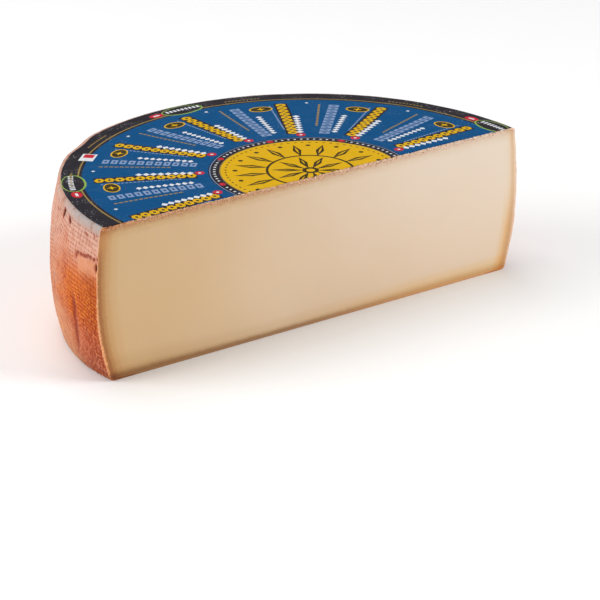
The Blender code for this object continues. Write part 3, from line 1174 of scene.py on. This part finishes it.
def crumbled(tree, colour, clouds, across, edge_side, edge_top):
    """Pale and dark grains where the paste broke, most of all along the top."""
    less_right = fade(tree, across, 0.0, 0.7 * WIDEST_RADIUS, 1.0, 0.45)
    crumbly = times(tree, fade(tree, edge_top, 3.4, 2.4), less_right)
    crumbly = maths(tree, "MAXIMUM", crumbly, fade(tree, edge_side, 1.5, 0.8, 0.0, 0.7))
    mottled = blend(tree, fade(tree, clouds["grains"], 0.42, 0.58), CRUMB_SHADE, CRUMB_PALE)
    mottled = blend(tree, fade(tree, clouds["specks"], 0.62, 0.70), mottled, CRUMB_SPECK)
    return tinted(tree, crumbly, colour, mottled)


# %% The paste
def paste_material():
    finish, tree, shader, place = material_tree("paste")
    across, _, height = axes_of(tree, place)
    clouds = clouds_of(tree, place, PASTE_CLOUDS)
    from_side = attribute(tree, "mm_from_side")
    edges = paste_edges(tree, clouds, across, height, from_side)
    edge_side, edge_top, _ = edges
    colour = paste_ground(tree, clouds, across, height)
    for tint in paste_bands(tree, across, height, from_side, *edges):
        colour = tinted(tree, 1.0, colour, tint)

    streaks, curd = clouds["streaks"], clouds["curd"]
    rough_edge = times(tree, clouds["grains"], fade(tree, edge_top, 3.2, 2.2))
    steps = [(streaks, 0.03 * MM), (curd, 0.03 * MM), (rough_edge, 0.5 * MM)]
    look = {
        "Base Color": crumbled(tree, colour, clouds, across, edge_side, edge_top),
        "Roughness": fade(tree, curd, 0.3, 0.7, 0.38, 0.50),
        "Normal": bump(tree, steps),
        "Specular IOR Level": 0.35,
        "Subsurface Weight": 0.2,
        "Subsurface Radius": (1.0, 0.6, 0.3),
        "Subsurface Scale": 2.0 * MM,
    }
    feed_all(tree, shader, look)
    return finish


paste = paste_material()
print("paste nodes:", len(paste.node_tree.nodes))

# %% [markdown]
# ## Press the linen into the skin
# The imprint follows a surface and repeats hundreds of times, which is work for Geometry Nodes.
# The tree moves each vertex inwards by the depth of the groove it lies in. A cloud of noise makes
# the imprint strong in some places and worn away in others, and the strength is stored, because
# the rind's material wants it too.

# %% The linen imprint tree
IMPRINT = {"Depth": 0.5 * MM, "Patch size": 34 * MM, "Seed": 4.0, "Rind": rind}
SHARP_EDGE = math.radians(55)


def linen_imprint_tree():
    inputs = {"Depth": "Float", "Patch size": "Float", "Seed": "Float", "Rind": "Material"}
    tree, given, result = geometry_tree("linen imprint", inputs)
    place = out(tree, "GeometryNodeInputPosition")
    scale = maths(tree, "DIVIDE", 1.0, given["Patch size"])
    feeds = {"Vector": place, "W": given["Seed"], "Scale": scale, "Detail": 2.0}
    clouds = out(tree, "ShaderNodeTexNoise", feeds, noise_dimensions="4D")
    strength = times(tree, named(tree, "cover"), fade(tree, clouds, 0.34, 0.60, 0.6, 1.0))
    feeds = {"Geometry": given["Geometry"], "Name": "imprint", "Value": strength}
    stored = out(tree, "GeometryNodeStoreNamedAttribute", feeds)
    grooves = groove_pattern(tree, place, named(tree, "warp"), named(tree, "weft"))
    feeds = {0: out(tree, "GeometryNodeInputNormal")}
    feeds["Scale"] = times(tree, grooves, strength, given["Depth"], -1.0)
    inwards = out(tree, "ShaderNodeVectorMath", feeds, operation="SCALE")
    moved = out(tree, "GeometryNodeSetPosition", {"Geometry": stored, "Offset": inwards})
    return finish_tree(tree, result, moved, given["Rind"], named(tree, "skin_face", "BOOLEAN"))


wheel_mesh.materials.append(paste)
imprinted = run_tree(wheel_mesh, linen_imprint_tree(), IMPRINT)
imprinted.set_sharp_from_angle(angle=SHARP_EDGE)
cheese_half = place_mesh(imprinted, "cheese_half")
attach(cheese_half, "root")
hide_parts("cheese_half_wheel")
print("imprinted mesh:", len(imprinted.vertices), "vertices")

# %% [markdown]
# ## Inks
# The label is coated paper, printed in flat inks. Each ink is one material made by the same
# function, so that all of them share the paper's cockle, its gloss and its wear: where the paper
# was rubbed, above all near its rim, small white specks show through the ink.

# %% The ink function
PAPER_WHITE = (0.80, 0.79, 0.76)
WORN_RIM_START = 128 * MM
MOTTLE_SHADE = 0.72
INK_CLOUDS = {
    "worn": (14, 3.0, 21.0),
    "specks": (0.9, 4.0, 22.0),
    "mottle": (5, 3.0, 23.0),
    "cockle": (9, 2.0, 24.0),
    "fibre": (0.7, 3.0, 25.0),
}


def ink_material(name, colour, wear=0.5):
    finish, tree, shader, place = material_tree("ink " + name)
    across, behind, _ = axes_of(tree, place)
    behind_axis = maths(tree, "SUBTRACT", behind, AXIS_Y)
    squares = maths(tree, "MULTIPLY_ADD", behind_axis, behind_axis, times(tree, across, across))
    radius = maths(tree, "SQRT", squares)
    clouds = clouds_of(tree, place, INK_CLOUDS)
    worn = times(
        tree,
        fade(tree, clouds["worn"], 0.42, 0.62),
        fade(tree, clouds["specks"], 0.58, 0.70),
        fade(tree, radius, WORN_RIM_START, LABEL_RADIUS, 0.35, 1.0),
        wear,
    )
    mottled = fade(tree, clouds["mottle"], 0.35, 0.65, 0.0, 0.16)
    printed = blend(tree, mottled, colour, tuple(MOTTLE_SHADE * part for part in colour))
    steps = [(clouds["cockle"], 0.35 * MM), (clouds["fibre"], 0.03 * MM)]
    look = {
        "Base Color": blend(tree, worn, printed, PAPER_WHITE),
        "Roughness": fade(tree, clouds["specks"], 0.3, 0.7, 0.46, 0.60),
        "Normal": bump(tree, steps),
        "Specular IOR Level": 0.04,
    }
    feed_all(tree, shader, look)
    return finish


# %% Make the inks
INKS = {
    "black": ink_material("black", (0.020, 0.017, 0.023), 0.9),
    "blue": ink_material("blue", (0.000, 0.067, 0.196)),
    "gold": ink_material("gold", (0.28, 0.19, 0.06)),
    "yellow": ink_material("yellow", (0.64, 0.37, 0.004)),
    "white": ink_material("white", (0.66, 0.67, 0.70)),
    "pale blue": ink_material("pale blue", (0.20, 0.28, 0.45)),
    "red": ink_material("red", (0.50, 0.02, 0.035)),
    "green": ink_material("green", (0.22, 0.36, 0.07)),
    "umber": ink_material("umber", (0.040, 0.028, 0.008)),
}
print("inks:", ", ".join(INKS))

# %% [markdown]
# ## Shapes that repeat about the wheel's axis
# Everything on the label is some simple shape, repeated along a radius and then about the axis.
# One tree makes them all. It starts from a round face with a given number of corners, so four
# make a diamond or a bar and sixteen an oval, and it can pull every second corner in, which
# makes petals and stars.

# %% One flat shape
def print_face(tree, given, index):
    """A round face with every second corner pulled in, turned and stretched."""
    feeds = {"Vertices": given["Corners"], "Radius": 1.0}
    face = out(tree, "GeometryNodeMeshCircle", feeds, fill_type="NGON")
    feeds = {0: out(tree, "GeometryNodeInputPosition"), "Scale": given["Inner share"]}
    pulled = out(tree, "ShaderNodeVectorMath", feeds, operation="SCALE")
    every_second = maths(tree, "MODULO", index, 2.0)
    feeds = {"Geometry": face, "Selection": every_second, "Position": pulled}
    star = out(tree, "GeometryNodeSetPosition", feeds)
    turn = out(tree, "ShaderNodeCombineXYZ", {"Z": given["Turn"]})
    turned = out(tree, "GeometryNodeTransform", {"Geometry": star, "Rotation": turn})
    feeds = {"X": given["Length"], "Y": given["Width"], "Z": 1.0}
    size = out(tree, "ShaderNodeCombineXYZ", feeds)
    return out(tree, "GeometryNodeTransform", {"Geometry": turned, "Scale": size})


# %% The print tree
PRINT_INPUTS = {
    "Corners": "Int",
    "Inner share": "Float",
    "Turn": "Float",
    "Length": "Float",
    "Width": "Float",
    "Count": "Int",
    "First radius": "Float",
    "Radius step": "Float",
    "Spokes": "Int",
    "First angle": "Float",
    "Angle step": "Float",
    "Ink": "Material",
}


def print_tree():
    """Repeats a flat shape along a spoke, and then the spoke about the axis."""
    tree, given, result = geometry_tree("repeated print", PRINT_INPUTS)
    index = out(tree, "GeometryNodeInputIndex")
    flat = print_face(tree, given, index)
    first = out(tree, "ShaderNodeCombineXYZ", {"X": given["First radius"]})
    step = out(tree, "ShaderNodeCombineXYZ", {"X": given["Radius step"]})
    feeds = {"Count": given["Count"], "Start Location": first, "Offset": step}
    radius_points = out(tree, "GeometryNodeMeshLine", feeds, mode="OFFSET")
    feeds = {"Points": radius_points, "Instance": flat}
    spoke = out(tree, "GeometryNodeInstanceOnPoints", feeds)

    feeds = {"Count": given["Spokes"], "Offset": (0.0, 0.0, 0.0)}
    centre_points = out(tree, "GeometryNodeMeshLine", feeds, mode="OFFSET")
    angle = maths(tree, "MULTIPLY_ADD", index, given["Angle step"], given["First angle"])
    about_axis = out(tree, "ShaderNodeCombineXYZ", {"Z": angle})
    feeds = {"Points": centre_points, "Instance": spoke, "Rotation": about_axis}
    spokes = out(tree, "GeometryNodeInstanceOnPoints", feeds)
    return finish_tree(tree, result, spokes, given["Ink"])


repeated_print = print_tree()
print("print tree nodes:", len(repeated_print.nodes))

# %% Shapes by name
def shape(corners, inner=1.0, turn=0.0):
    """A round face's corners, how far every second one is pulled in, and the face's turn."""
    return {"Corners": corners, "Inner share": inner, "Turn": turn}


DIAMOND = shape(4)
BAR = shape(4, turn=math.radians(45))
LINK = shape(6)
OVAL = shape(16)
ROUND = shape(180)
STAR = shape(10, inner=0.42)
PETAL = shape(4, inner=0.55)


def ink_shapes(ink, kind, length, width, radius, count=1, step=0.0, spokes=1, angle=0.0, every=0.0):
    """Outlines of one printed shape wherever it repeats. Sizes in mm and angles in degrees."""
    reach = math.sqrt(0.5) if kind is BAR else 1.0
    values = {
        **kind,
        "Length": length * MM / 2 / reach,
        "Width": width * MM / 2 / reach,
        "Count": count,
        "First radius": radius * MM,
        "Radius step": step * MM,
        "Spokes": spokes,
        "First angle": math.radians(angle),
        "Angle step": math.radians(every),
        "Ink": INKS[ink],
    }
    made = run_tree(bpy.data.meshes.new("nothing"), repeated_print, values)
    flat = np.array([vertex.co.xy for vertex in made.vertices])
    outlines = [(ink, flat[list(polygon.vertices)]) for polygon in made.polygons]
    bpy.data.meshes.remove(made)
    return outlines


def disc(ink, radius):
    return ink_shapes(ink, ROUND, 2 * radius, 2 * radius, 0.0)


# %% [markdown]
# ## The label's design
# The print is made of rings and of rows that run outwards: a black border with a gold line, a
# blue field with rows of yellow links, white lozenges and pale bars, yellow-rimmed ovals near the
# border, and a yellow disc with a dark rosette. Later shapes lie on top of earlier ones.

# %% Rings and fields
def rings():
    shapes = disc("gold", 137.0) + disc("black", 136.0) + disc("blue", 134.3)
    shapes += disc("black", 60.4) + disc("pale blue", 59.7) + disc("black", 59.2)
    shapes += disc("gold", 53.9) + disc("yellow", 53.2)
    return shapes


SECTORS = 12
SECTOR = 360 / SECTORS
FIRST_ROW = 3.0
ROW_START = 67.5
ROW_LENGTH = 60
ROW_WIDTH = 7.2
LINK_LENGTH = 6.0


def around(angle):
    """Repeats a row in every sector, a given angle on from the sector's start."""
    return dict(spokes=SECTORS, angle=FIRST_ROW + angle, every=SECTOR)


# %% Rows on the blue field
def linked_row():
    """A row of outlined links from the inner ring to the border."""
    row = dict(count=int(ROW_LENGTH // LINK_LENGTH), step=LINK_LENGTH, **around(0.0))
    row["radius"] = ROW_START + LINK_LENGTH / 2
    dark = ink_shapes("black", BAR, LINK_LENGTH + 0.4, ROW_WIDTH + 1.6, **row)
    bright = ink_shapes("yellow", LINK, LINK_LENGTH + 0.2, ROW_WIDTH, **row)
    hole = ink_shapes("black", OVAL, LINK_LENGTH * 0.28, ROW_WIDTH * 0.36, **row)
    return dark + bright + hole


# Each row: ink, shape, angle, length, width, first radius, and perhaps count and step
FIELD_ROWS = [
    ("white", DIAMOND, -3.6, 4.2, 5.0, 71.0, 8, 4.3),
    ("pale blue", BAR, 3.4, 1.6, 1.1, 78.0, 20, 2.4),
    ("pale blue", BAR, 14.2, 3.9, 6.6, 70.0, 11, 5.3),
    ("blue", OVAL, 14.2, 1.5, 3.0, 70.0, 11, 5.3),
    ("white", DIAMOND, 9.4, 3.6, 4.4, 73.0, 9, 3.9),
    ("gold", BAR, 18.6, 2.3, 1.4, 84.0, 14, 3.1),
    ("yellow", OVAL, 6.6, 10.0, 15.5, 119.0),
    ("umber", OVAL, 6.6, 8.2, 13.6, 119.0),
    ("yellow", PETAL, 6.6, 7.0, 2.6, 119.0),
    ("yellow", PETAL, 6.6, 2.4, 11.0, 119.0),
    ("white", STAR, 22.3, 3.2, 3.2, 128.0),
    ("red", OVAL, -3.6, 6.0, 6.0, 65.4),
    ("white", OVAL, -3.6, 2.0, 2.0, 65.4),
]


def blue_field():
    shapes = linked_row()
    for ink, kind, angle, *sizes in FIELD_ROWS:
        shapes += ink_shapes(ink, kind, *sizes, **around(angle))
    return shapes


# %% The border and the inner ring
def border():
    shapes = []
    for start in (8.0, 98.0, 162.0):
        shapes += ink_shapes("green", OVAL, 15.0, 30.0, 139.5, angle=start - 8.0)
        shapes += ink_shapes("black", OVAL, 13.0, 28.0, 139.8, angle=start - 8.0)
        shapes += ink_shapes("red", OVAL, 6.4, 10.5, 140.5, angle=start)
        shapes += ink_shapes("white", BAR, 1.6, 4.6, 140.5, angle=start)
        row = dict(spokes=9, angle=start - 13.0, every=1.15)
        shapes += ink_shapes("white", BAR, 3.2, 1.7, 141.0, **row)
    for start in (24.0, 68.0, 118.0, 147.0):
        shapes += ink_shapes("gold", BAR, 1.1, 1.6, 140.8, spokes=10, angle=start, every=1.0)
    shapes += ink_shapes("white", BAR, 9.0, 12.5, 135.3, angle=134.5)
    shapes += ink_shapes("red", BAR, 6.2, 6.0, 135.3, angle=133.5)
    return shapes


def inner_ring():
    shapes = ink_shapes("white", BAR, 1.5, 1.3, 56.8, spokes=90, angle=0.0, every=4.0)
    for start in (35.0, 80.0, 125.0, 170.0):
        shapes += ink_shapes("black", BAR, 2.6, 6.4, 56.8, angle=start)
        shapes += ink_shapes("red", OVAL, 3.8, 4.4, 56.8, angle=start)
    return shapes


# %% The rosette on the yellow disc
def rosette():
    shapes = ink_shapes("umber", BAR, 0.9, 1.7, 50.2, spokes=72, every=5.0)
    shapes += ink_shapes("umber", PETAL, 21.0, 9.6, 35.5, spokes=16, every=22.5)
    shapes += ink_shapes("yellow", PETAL, 13.0, 2.6, 36.0, spokes=16, every=22.5)
    shapes += ink_shapes("umber", OVAL, 3.0, 3.0, 44.6, spokes=16, angle=11.25, every=22.5)
    shapes += disc("umber", 26.5) + disc("yellow", 24.9)
    shapes += ink_shapes("umber", PETAL, 20.0, 8.2, 13.6, spokes=10, every=36.0)
    shapes += ink_shapes("yellow", PETAL, 9.0, 1.8, 14.6, spokes=10, every=36.0)
    shapes += disc("umber", 5.0) + disc("yellow", 2.6)
    return shapes


design = rings() + blue_field() + border() + inner_ring() + rosette()
design = [(ink, outline) for ink, outline in design if outline[:, 1].max() > -CUT_AHEAD - 2 * MM]
print("printed shapes on the half label:", len(design))

# %% [markdown]
# ## Inlay the print
# Printed shapes could float just above the paper, but sheets that lie a hair apart flicker in
# many viewers. Here they are inlaid instead: Delaunay's rule cuts the sheet along the outline of
# every shape and says which shapes each triangle lies in, and the triangle takes the ink of the
# uppermost. A grid of extra points keeps the triangles small, so that the sheet can cockle.
#
# The knife dragged the paper's cut edge with it. Past the fold, the sheet hangs down over the
# rind in short frays.

# %% The sheet's outline
FRAY_SIZE = 1.6 * MM
FRAY_PATTERN = 1.0
WIDE_FRAY_SIZE = 9 * MM
WIDE_FRAY_PATTERN = 4.0
FRAY_SHARES = (0.35, 1.1, 0.5)
LONGEST_FRAY = 0.8 * MM
FRAY_BACK = 0.35 * MM
FOLD_BEHIND_CUT = 0.12 * MM
SHEET_SPACING = 0.6 * MM
EDGE_WOBBLE = 0.4 * MM
NICK_DEPTH = 0.15 * MM
NICK_SIZE = 2.5 * MM
NICK_PATTERN = 6.0
SHEET_GRID = 3.0 * MM


def sheet_rim():
    """The round edge, from the cut's right end to its left, with the wobble of cut paper."""
    count = int((LEFT_END - RIGHT_END) * LABEL_RADIUS / SHEET_SPACING)
    turn = np.linspace(-1.0, 1.0, count)
    angle = math.pi / 2 + turn * (math.pi / 2 + math.asin(CUT_AHEAD / LABEL_RADIUS))
    rim = np.stack([np.cos(angle), np.sin(angle), np.zeros(count)], axis=-1) * LABEL_RADIUS
    radius = LABEL_RADIUS + EDGE_WOBBLE * (lumps(rim, LABEL_EDGE_PATTERN) - 1.0)
    at_top = np.full(count, WHEEL_HEIGHT)
    radius += LABEL_SLUMP_SHARE * slump(angle, at_top) - knock(angle, at_top)
    radius -= NICK_DEPTH * np.abs(noise_at(rim, NICK_SIZE, NICK_PATTERN))
    return rim[:, :2] / LABEL_RADIUS * radius[:, None]


def sheet_cut_edge(start, end):
    """The frayed edge, from the rim's left end back to its right."""
    across = np.arange(start + SHEET_SPACING, end - SHEET_SPACING / 2, SHEET_SPACING)
    places = np.stack([across, np.zeros_like(across), np.zeros_like(across)], axis=-1)
    everywhere, small, wide = FRAY_SHARES
    frays = everywhere + small * noise_at(places, FRAY_SIZE, FRAY_PATTERN)
    frays = frays + wide * noise_at(places, WIDE_FRAY_SIZE, WIDE_FRAY_PATTERN)
    hang = np.clip(frays * LONGEST_FRAY, -FRAY_BACK, LONGEST_FRAY)
    return np.stack([across, -CUT_AHEAD - hang], axis=-1)


rim_edge = sheet_rim()
cut_edge = sheet_cut_edge(rim_edge[-1, 0], rim_edge[0, 0])
sheet_outline = np.concatenate([rim_edge, cut_edge])
fold_line = np.stack(
    [cut_edge[::-1, 0], np.full(len(cut_edge), -CUT_AHEAD + FOLD_BEHIND_CUT)], axis=-1
)
print("sheet outline points:", len(sheet_outline), "longest fray in mm:", LONGEST_FRAY / MM)

# %% Cut the sheet along every printed outline
SAME_POINT_MM = 1e-4


def inlay(outline, shapes, crease_line, loose_points):
    """Flat points, triangles, and the ink of each triangle."""
    places = [outline]
    polygons = [list(range(len(outline)))]
    total = len(outline)
    for _, shape in shapes:
        polygons.append(list(range(total, total + len(shape))))
        places.append(shape)
        total += len(shape)
    creases = [(total + step, total + step + 1) for step in range(len(crease_line) - 1)]
    places += [crease_line, loose_points]
    flat = [Vector(place) / MM for place in np.concatenate(places)]
    cut = delaunay_2d_cdt(flat, creases, polygons, 0, SAME_POINT_MM)
    points, triangles, inside = cut[0], cut[2], cut[5]
    kept = [(triangle, max(ids)) for triangle, ids in zip(triangles, inside) if 0 in ids]
    inks = [shapes[top - 1][0] if top else "black" for _, top in kept]
    return np.array(points) * MM, [triangle for triangle, _ in kept], inks


sheet_low = (-LABEL_RADIUS, -CUT_AHEAD + SHEET_GRID / 2)
sheet_high = (LABEL_RADIUS, LABEL_RADIUS)
loose = grid_points(sheet_low, sheet_high, SHEET_GRID)
loose = loose[np.hypot(*loose.T) < LABEL_RADIUS - SHEET_GRID]
flat_points, sheet_triangles, sheet_inks = inlay(sheet_outline, design, fold_line, loose)
print("inlaid triangles:", len(sheet_triangles), "inks used:", len(set(sheet_inks)))

# %% Lay the sheet on the cheese
PAPER_THICKNESS = 0.15 * MM
PAPER_ABOVE_RIND = 0.22 * MM
COCKLE_DEPTH = 0.12 * MM
COCKLES = dict(size=19 * MM, shift=8.0, limits=(-1.0, 2.0))


def lay_sheet(flat):
    """Lifts the flat sheet onto the wheel's top, and folds what is past the cut down over it."""
    points = np.column_stack([flat, np.full(len(flat), WHEEL_HEIGHT)])
    hang = np.maximum(-CUT_AHEAD + FOLD_BEHIND_CUT - flat[:, 1], 0.0)
    points[:, 1] = np.maximum(points[:, 1], -CUT_AHEAD + FOLD_BEHIND_CUT)
    cockle = COCKLE_DEPTH * uneven(points * LEVEL, **COCKLES)
    points[:, 2] += top_lift(points) + PAPER_ABOVE_RIND + cockle - hang
    return points + AXIS_PLACE


def without_strays(points, triangles):
    """Leaves out points that no triangle uses."""
    used, renamed = np.unique(np.array(triangles), return_inverse=True)
    return points[used], renamed.reshape(-1, 3)


sheet_points, sheet_triangles = without_strays(lay_sheet(flat_points), sheet_triangles)

# %% Give the sheet its inks and its thickness
sheet_mesh = bpy.data.meshes.new("sheet")
sheet_mesh.from_pydata(sheet_points.tolist(), [], sheet_triangles.tolist())
ink_names = list(INKS)
for name in ink_names:
    sheet_mesh.materials.append(INKS[name])
sheet_mesh.polygons.foreach_set("material_index", [ink_names.index(ink) for ink in sheet_inks])
sheet_mesh.shade_smooth()

sheet = place_mesh(sheet_mesh, "flat_sheet")
thicken = sheet.modifiers.new("paper thickness", "SOLIDIFY")
thicken.thickness = PAPER_THICKNESS
thicken.offset = -1.0
label_mesh = plain_mesh(sheet)
label_mesh.set_sharp_from_angle(angle=SHARP_EDGE)
label_print = place_mesh(label_mesh, "label_print")
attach(label_print, "root")
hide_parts("paper_label")
print("label faces:", len(label_mesh.polygons))

# %% [markdown]
# ## Crumbs along the broken rind
# A knife leaves small crumbs of rind on the cut's edge. They are one tiny lump, repeated along a
# line at random sizes, turns and places, so Geometry Nodes scatter them. Each is a ball of twenty
# faces.

# %% The crumb tree
def crumb_tree():
    inputs = {
        "Count": "Int",
        "Smallest": "Float",
        "Largest": "Float",
        "Scatter": "Vector",
        "Seed": "Int",
        "Crumb": "Material",
    }
    tree, given, result = geometry_tree("crumbs along an edge", inputs)
    curve = out(tree, "GeometryNodeMeshToCurve", {"Mesh": given["Geometry"]})
    feeds = {"Curve": curve, "Count": given["Count"]}
    evenly = out(tree, "GeometryNodeResampleCurve", feeds)
    feeds = {0: given["Scatter"], "Scale": -1.0}
    least = out(tree, "ShaderNodeVectorMath", feeds, operation="SCALE")
    feeds = {0: least, 1: given["Scatter"], "Seed": given["Seed"]}
    scatter = out(tree, "FunctionNodeRandomValue", feeds, data_type="FLOAT_VECTOR")
    feeds = {"Geometry": evenly, "Offset": scatter}
    places = out(tree, "GeometryNodeSetPosition", feeds)

    ball = out(tree, "GeometryNodeMeshIcoSphere", {"Radius": 1.0, "Subdivisions": 1})
    feeds = {1: (math.tau, math.tau, math.tau)}
    turn = out(tree, "FunctionNodeRandomValue", feeds, data_type="FLOAT_VECTOR")
    feeds = {2: given["Smallest"], 3: given["Largest"]}
    size = add(tree, "FunctionNodeRandomValue", feeds, data_type="FLOAT").outputs[1]
    feeds = {"Points": places, "Instance": ball, "Rotation": turn, "Scale": size}
    crumbs = out(tree, "GeometryNodeInstanceOnPoints", feeds)
    return finish_tree(tree, result, crumbs, given["Crumb"])


# %% Crumb colours
CRUMB_CREAM = (0.72, 0.55, 0.42)
CRUMB_BROWN = (0.42, 0.19, 0.11)
CRUMB_CLOUDS = {
    "kinds": (1.6, 1.0, 31.0),
    "grain": (0.3, 2.0, 32.0),
}


def crumb_material():
    """Some crumbs are pale paste and some are brown rind, by the place where they lie."""
    finish, tree, shader, place = material_tree("crumb")
    clouds = clouds_of(tree, place, CRUMB_CLOUDS)
    which = fade(tree, clouds["kinds"], 0.45, 0.60)
    look = {
        "Base Color": blend(tree, which, CRUMB_CREAM, CRUMB_BROWN),
        "Roughness": fade(tree, clouds["grain"], 0.3, 0.7, 0.5, 0.8),
        "Normal": bump(tree, [(clouds["grain"], 0.08 * MM)]),
        "Specular IOR Level": 0.3,
        "Subsurface Weight": 0.2,
        "Subsurface Radius": (1.0, 0.5, 0.3),
        "Subsurface Scale": 1.0 * MM,
    }
    feed_all(tree, shader, look)
    return finish


# %% Scatter crumbs along the top of the cut
CRUMB_LINE_INSIDE_RIM = 3 * MM
CRUMB_LINE_BELOW_TOP = 1.0 * MM
CRUMB_SINK = 0.12 * MM
CRUMBS = {
    "Count": 420,
    "Smallest": 0.14 * MM,
    "Largest": 0.42 * MM,
    "Scatter": (1.2 * MM, 0.2 * MM, 0.9 * MM),
    "Seed": 5,
    "Crumb": crumb_material(),
}


def line_mesh(name, line):
    """A chain of edges through points about the wheel's axis."""
    mesh = bpy.data.meshes.new(name)
    chain = [(step, step + 1) for step in range(len(line) - 1)]
    mesh.from_pydata((line + AXIS_PLACE).tolist(), chain, [])
    return mesh


crumb_line = cut_line(TOP_RADIUS - CRUMB_LINE_INSIDE_RIM, WHEEL_HEIGHT - CRUMB_LINE_BELOW_TOP)
crumb_line[:, 1] = np.minimum(crumb_line[:, 1], -CUT_AHEAD + CRUMB_SINK)
crumb_line[:, 2] += top_lift(crumb_line)
crumb_mesh = run_tree(line_mesh("crumb line", crumb_line), crumb_tree(), CRUMBS)
rind_crumbs = place_mesh(crumb_mesh, "rind_crumbs")
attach(rind_crumbs, "root")
print("crumbs:", len(crumb_mesh.polygons), "faces")

# %% [markdown]
# ## Floor, lights and camera
# A cheese like this looks best in the soft, even light of a shop window: hard light would burn
# out the moist paste and hide its bands. A pale floor takes the shadow, three square softboxes
# stand round the cheese, and a white surround fills what they leave dark. The floor is stage, so
# it isn't part of the model.

# %% The floor
FLOOR_SIZE = 8.0
FLOOR_GREY = 0.93
FLOOR_ROUGHNESS = 0.7

half = FLOOR_SIZE / 2
corners = [(-half, -half, 0), (half, -half, 0), (half, half, 0), (-half, half, 0)]
floor_mesh = bpy.data.meshes.new("floor")
floor_mesh.from_pydata(corners, [], [(0, 1, 2, 3)])
floor = place_mesh(floor_mesh, "floor")
floor_finish, _, floor_shader, _ = material_tree("pale floor")
floor_shader.inputs["Base Color"].default_value = (FLOOR_GREY, FLOOR_GREY, FLOOR_GREY, 1.0)
floor_shader.inputs["Roughness"].default_value = FLOOR_ROUGHNESS
floor_mesh.materials.append(floor_finish)
print("floor:", FLOOR_SIZE, "m square")

# %% The lights
# Each softbox: name, place, the point it faces, width in metres and power in watts
SOFTBOXES = [
    ("right softbox", (1.4, -1.4, 1.2), (0.05, 0, 0.04), 1.2, 27),
    ("left softbox", (-1.6, 0.7, 0.8), (-0.05, 0, 0.04), 1.2, 25),
    ("top softbox", (0.0, 0.7, 1.9), (0, 0, 0.05), 1.4, 15),
]
SURROUND_STRENGTH = 0.38


def face_along(thing, direction):
    """Turns a light or the camera so that it looks in a direction."""
    thing.rotation_euler = direction.to_track_quat("-Z", "Y").to_euler()


def softbox(name, place, target, width, power):
    lamp = bpy.data.lights.new(name, "AREA")
    lamp.shape = "SQUARE"
    lamp.size = width
    lamp.energy = power
    box = bpy.data.objects.new(name, lamp)
    bpy.context.scene.collection.objects.link(box)
    box.location = place
    face_along(box, Vector(target) - Vector(place))


for values in SOFTBOXES:
    softbox(*values)

world = bpy.data.worlds.new("studio")
bpy.context.scene.world = world
world.use_nodes = True
background = world.node_tree.nodes["Background"]
background.inputs["Color"].default_value = (1.0, 1.0, 1.0, 1.0)
background.inputs["Strength"].default_value = SURROUND_STRENGTH
bpy.context.scene.view_settings.view_transform = "Standard"
print("softboxes:", len(SOFTBOXES))

# %% The camera
CAMERA_AZIMUTH = math.radians(-35.64)
CAMERA_ELEVATION = math.radians(22.93)
CAMERA_DISTANCE = 1.3355
CAMERA_TARGET = Vector((-0.0142, cheese_low.y, 0.0178))
LENS_MM = 134.4
SENSOR_MM = 36.0

lens = bpy.data.cameras.new("camera")
lens.sensor_width = SENSOR_MM
lens.lens = LENS_MM
camera = bpy.data.objects.new("camera", lens)
bpy.context.scene.collection.objects.link(camera)
level_reach = math.cos(CAMERA_ELEVATION)
back = Vector(
    (
        math.sin(CAMERA_AZIMUTH) * level_reach,
        -math.cos(CAMERA_AZIMUTH) * level_reach,
        math.sin(CAMERA_ELEVATION),
    )
)
camera.location = CAMERA_TARGET + CAMERA_DISTANCE * back
face_along(camera, -back)
bpy.context.scene.camera = camera
print("camera at", [round(value, 3) for value in camera.location])
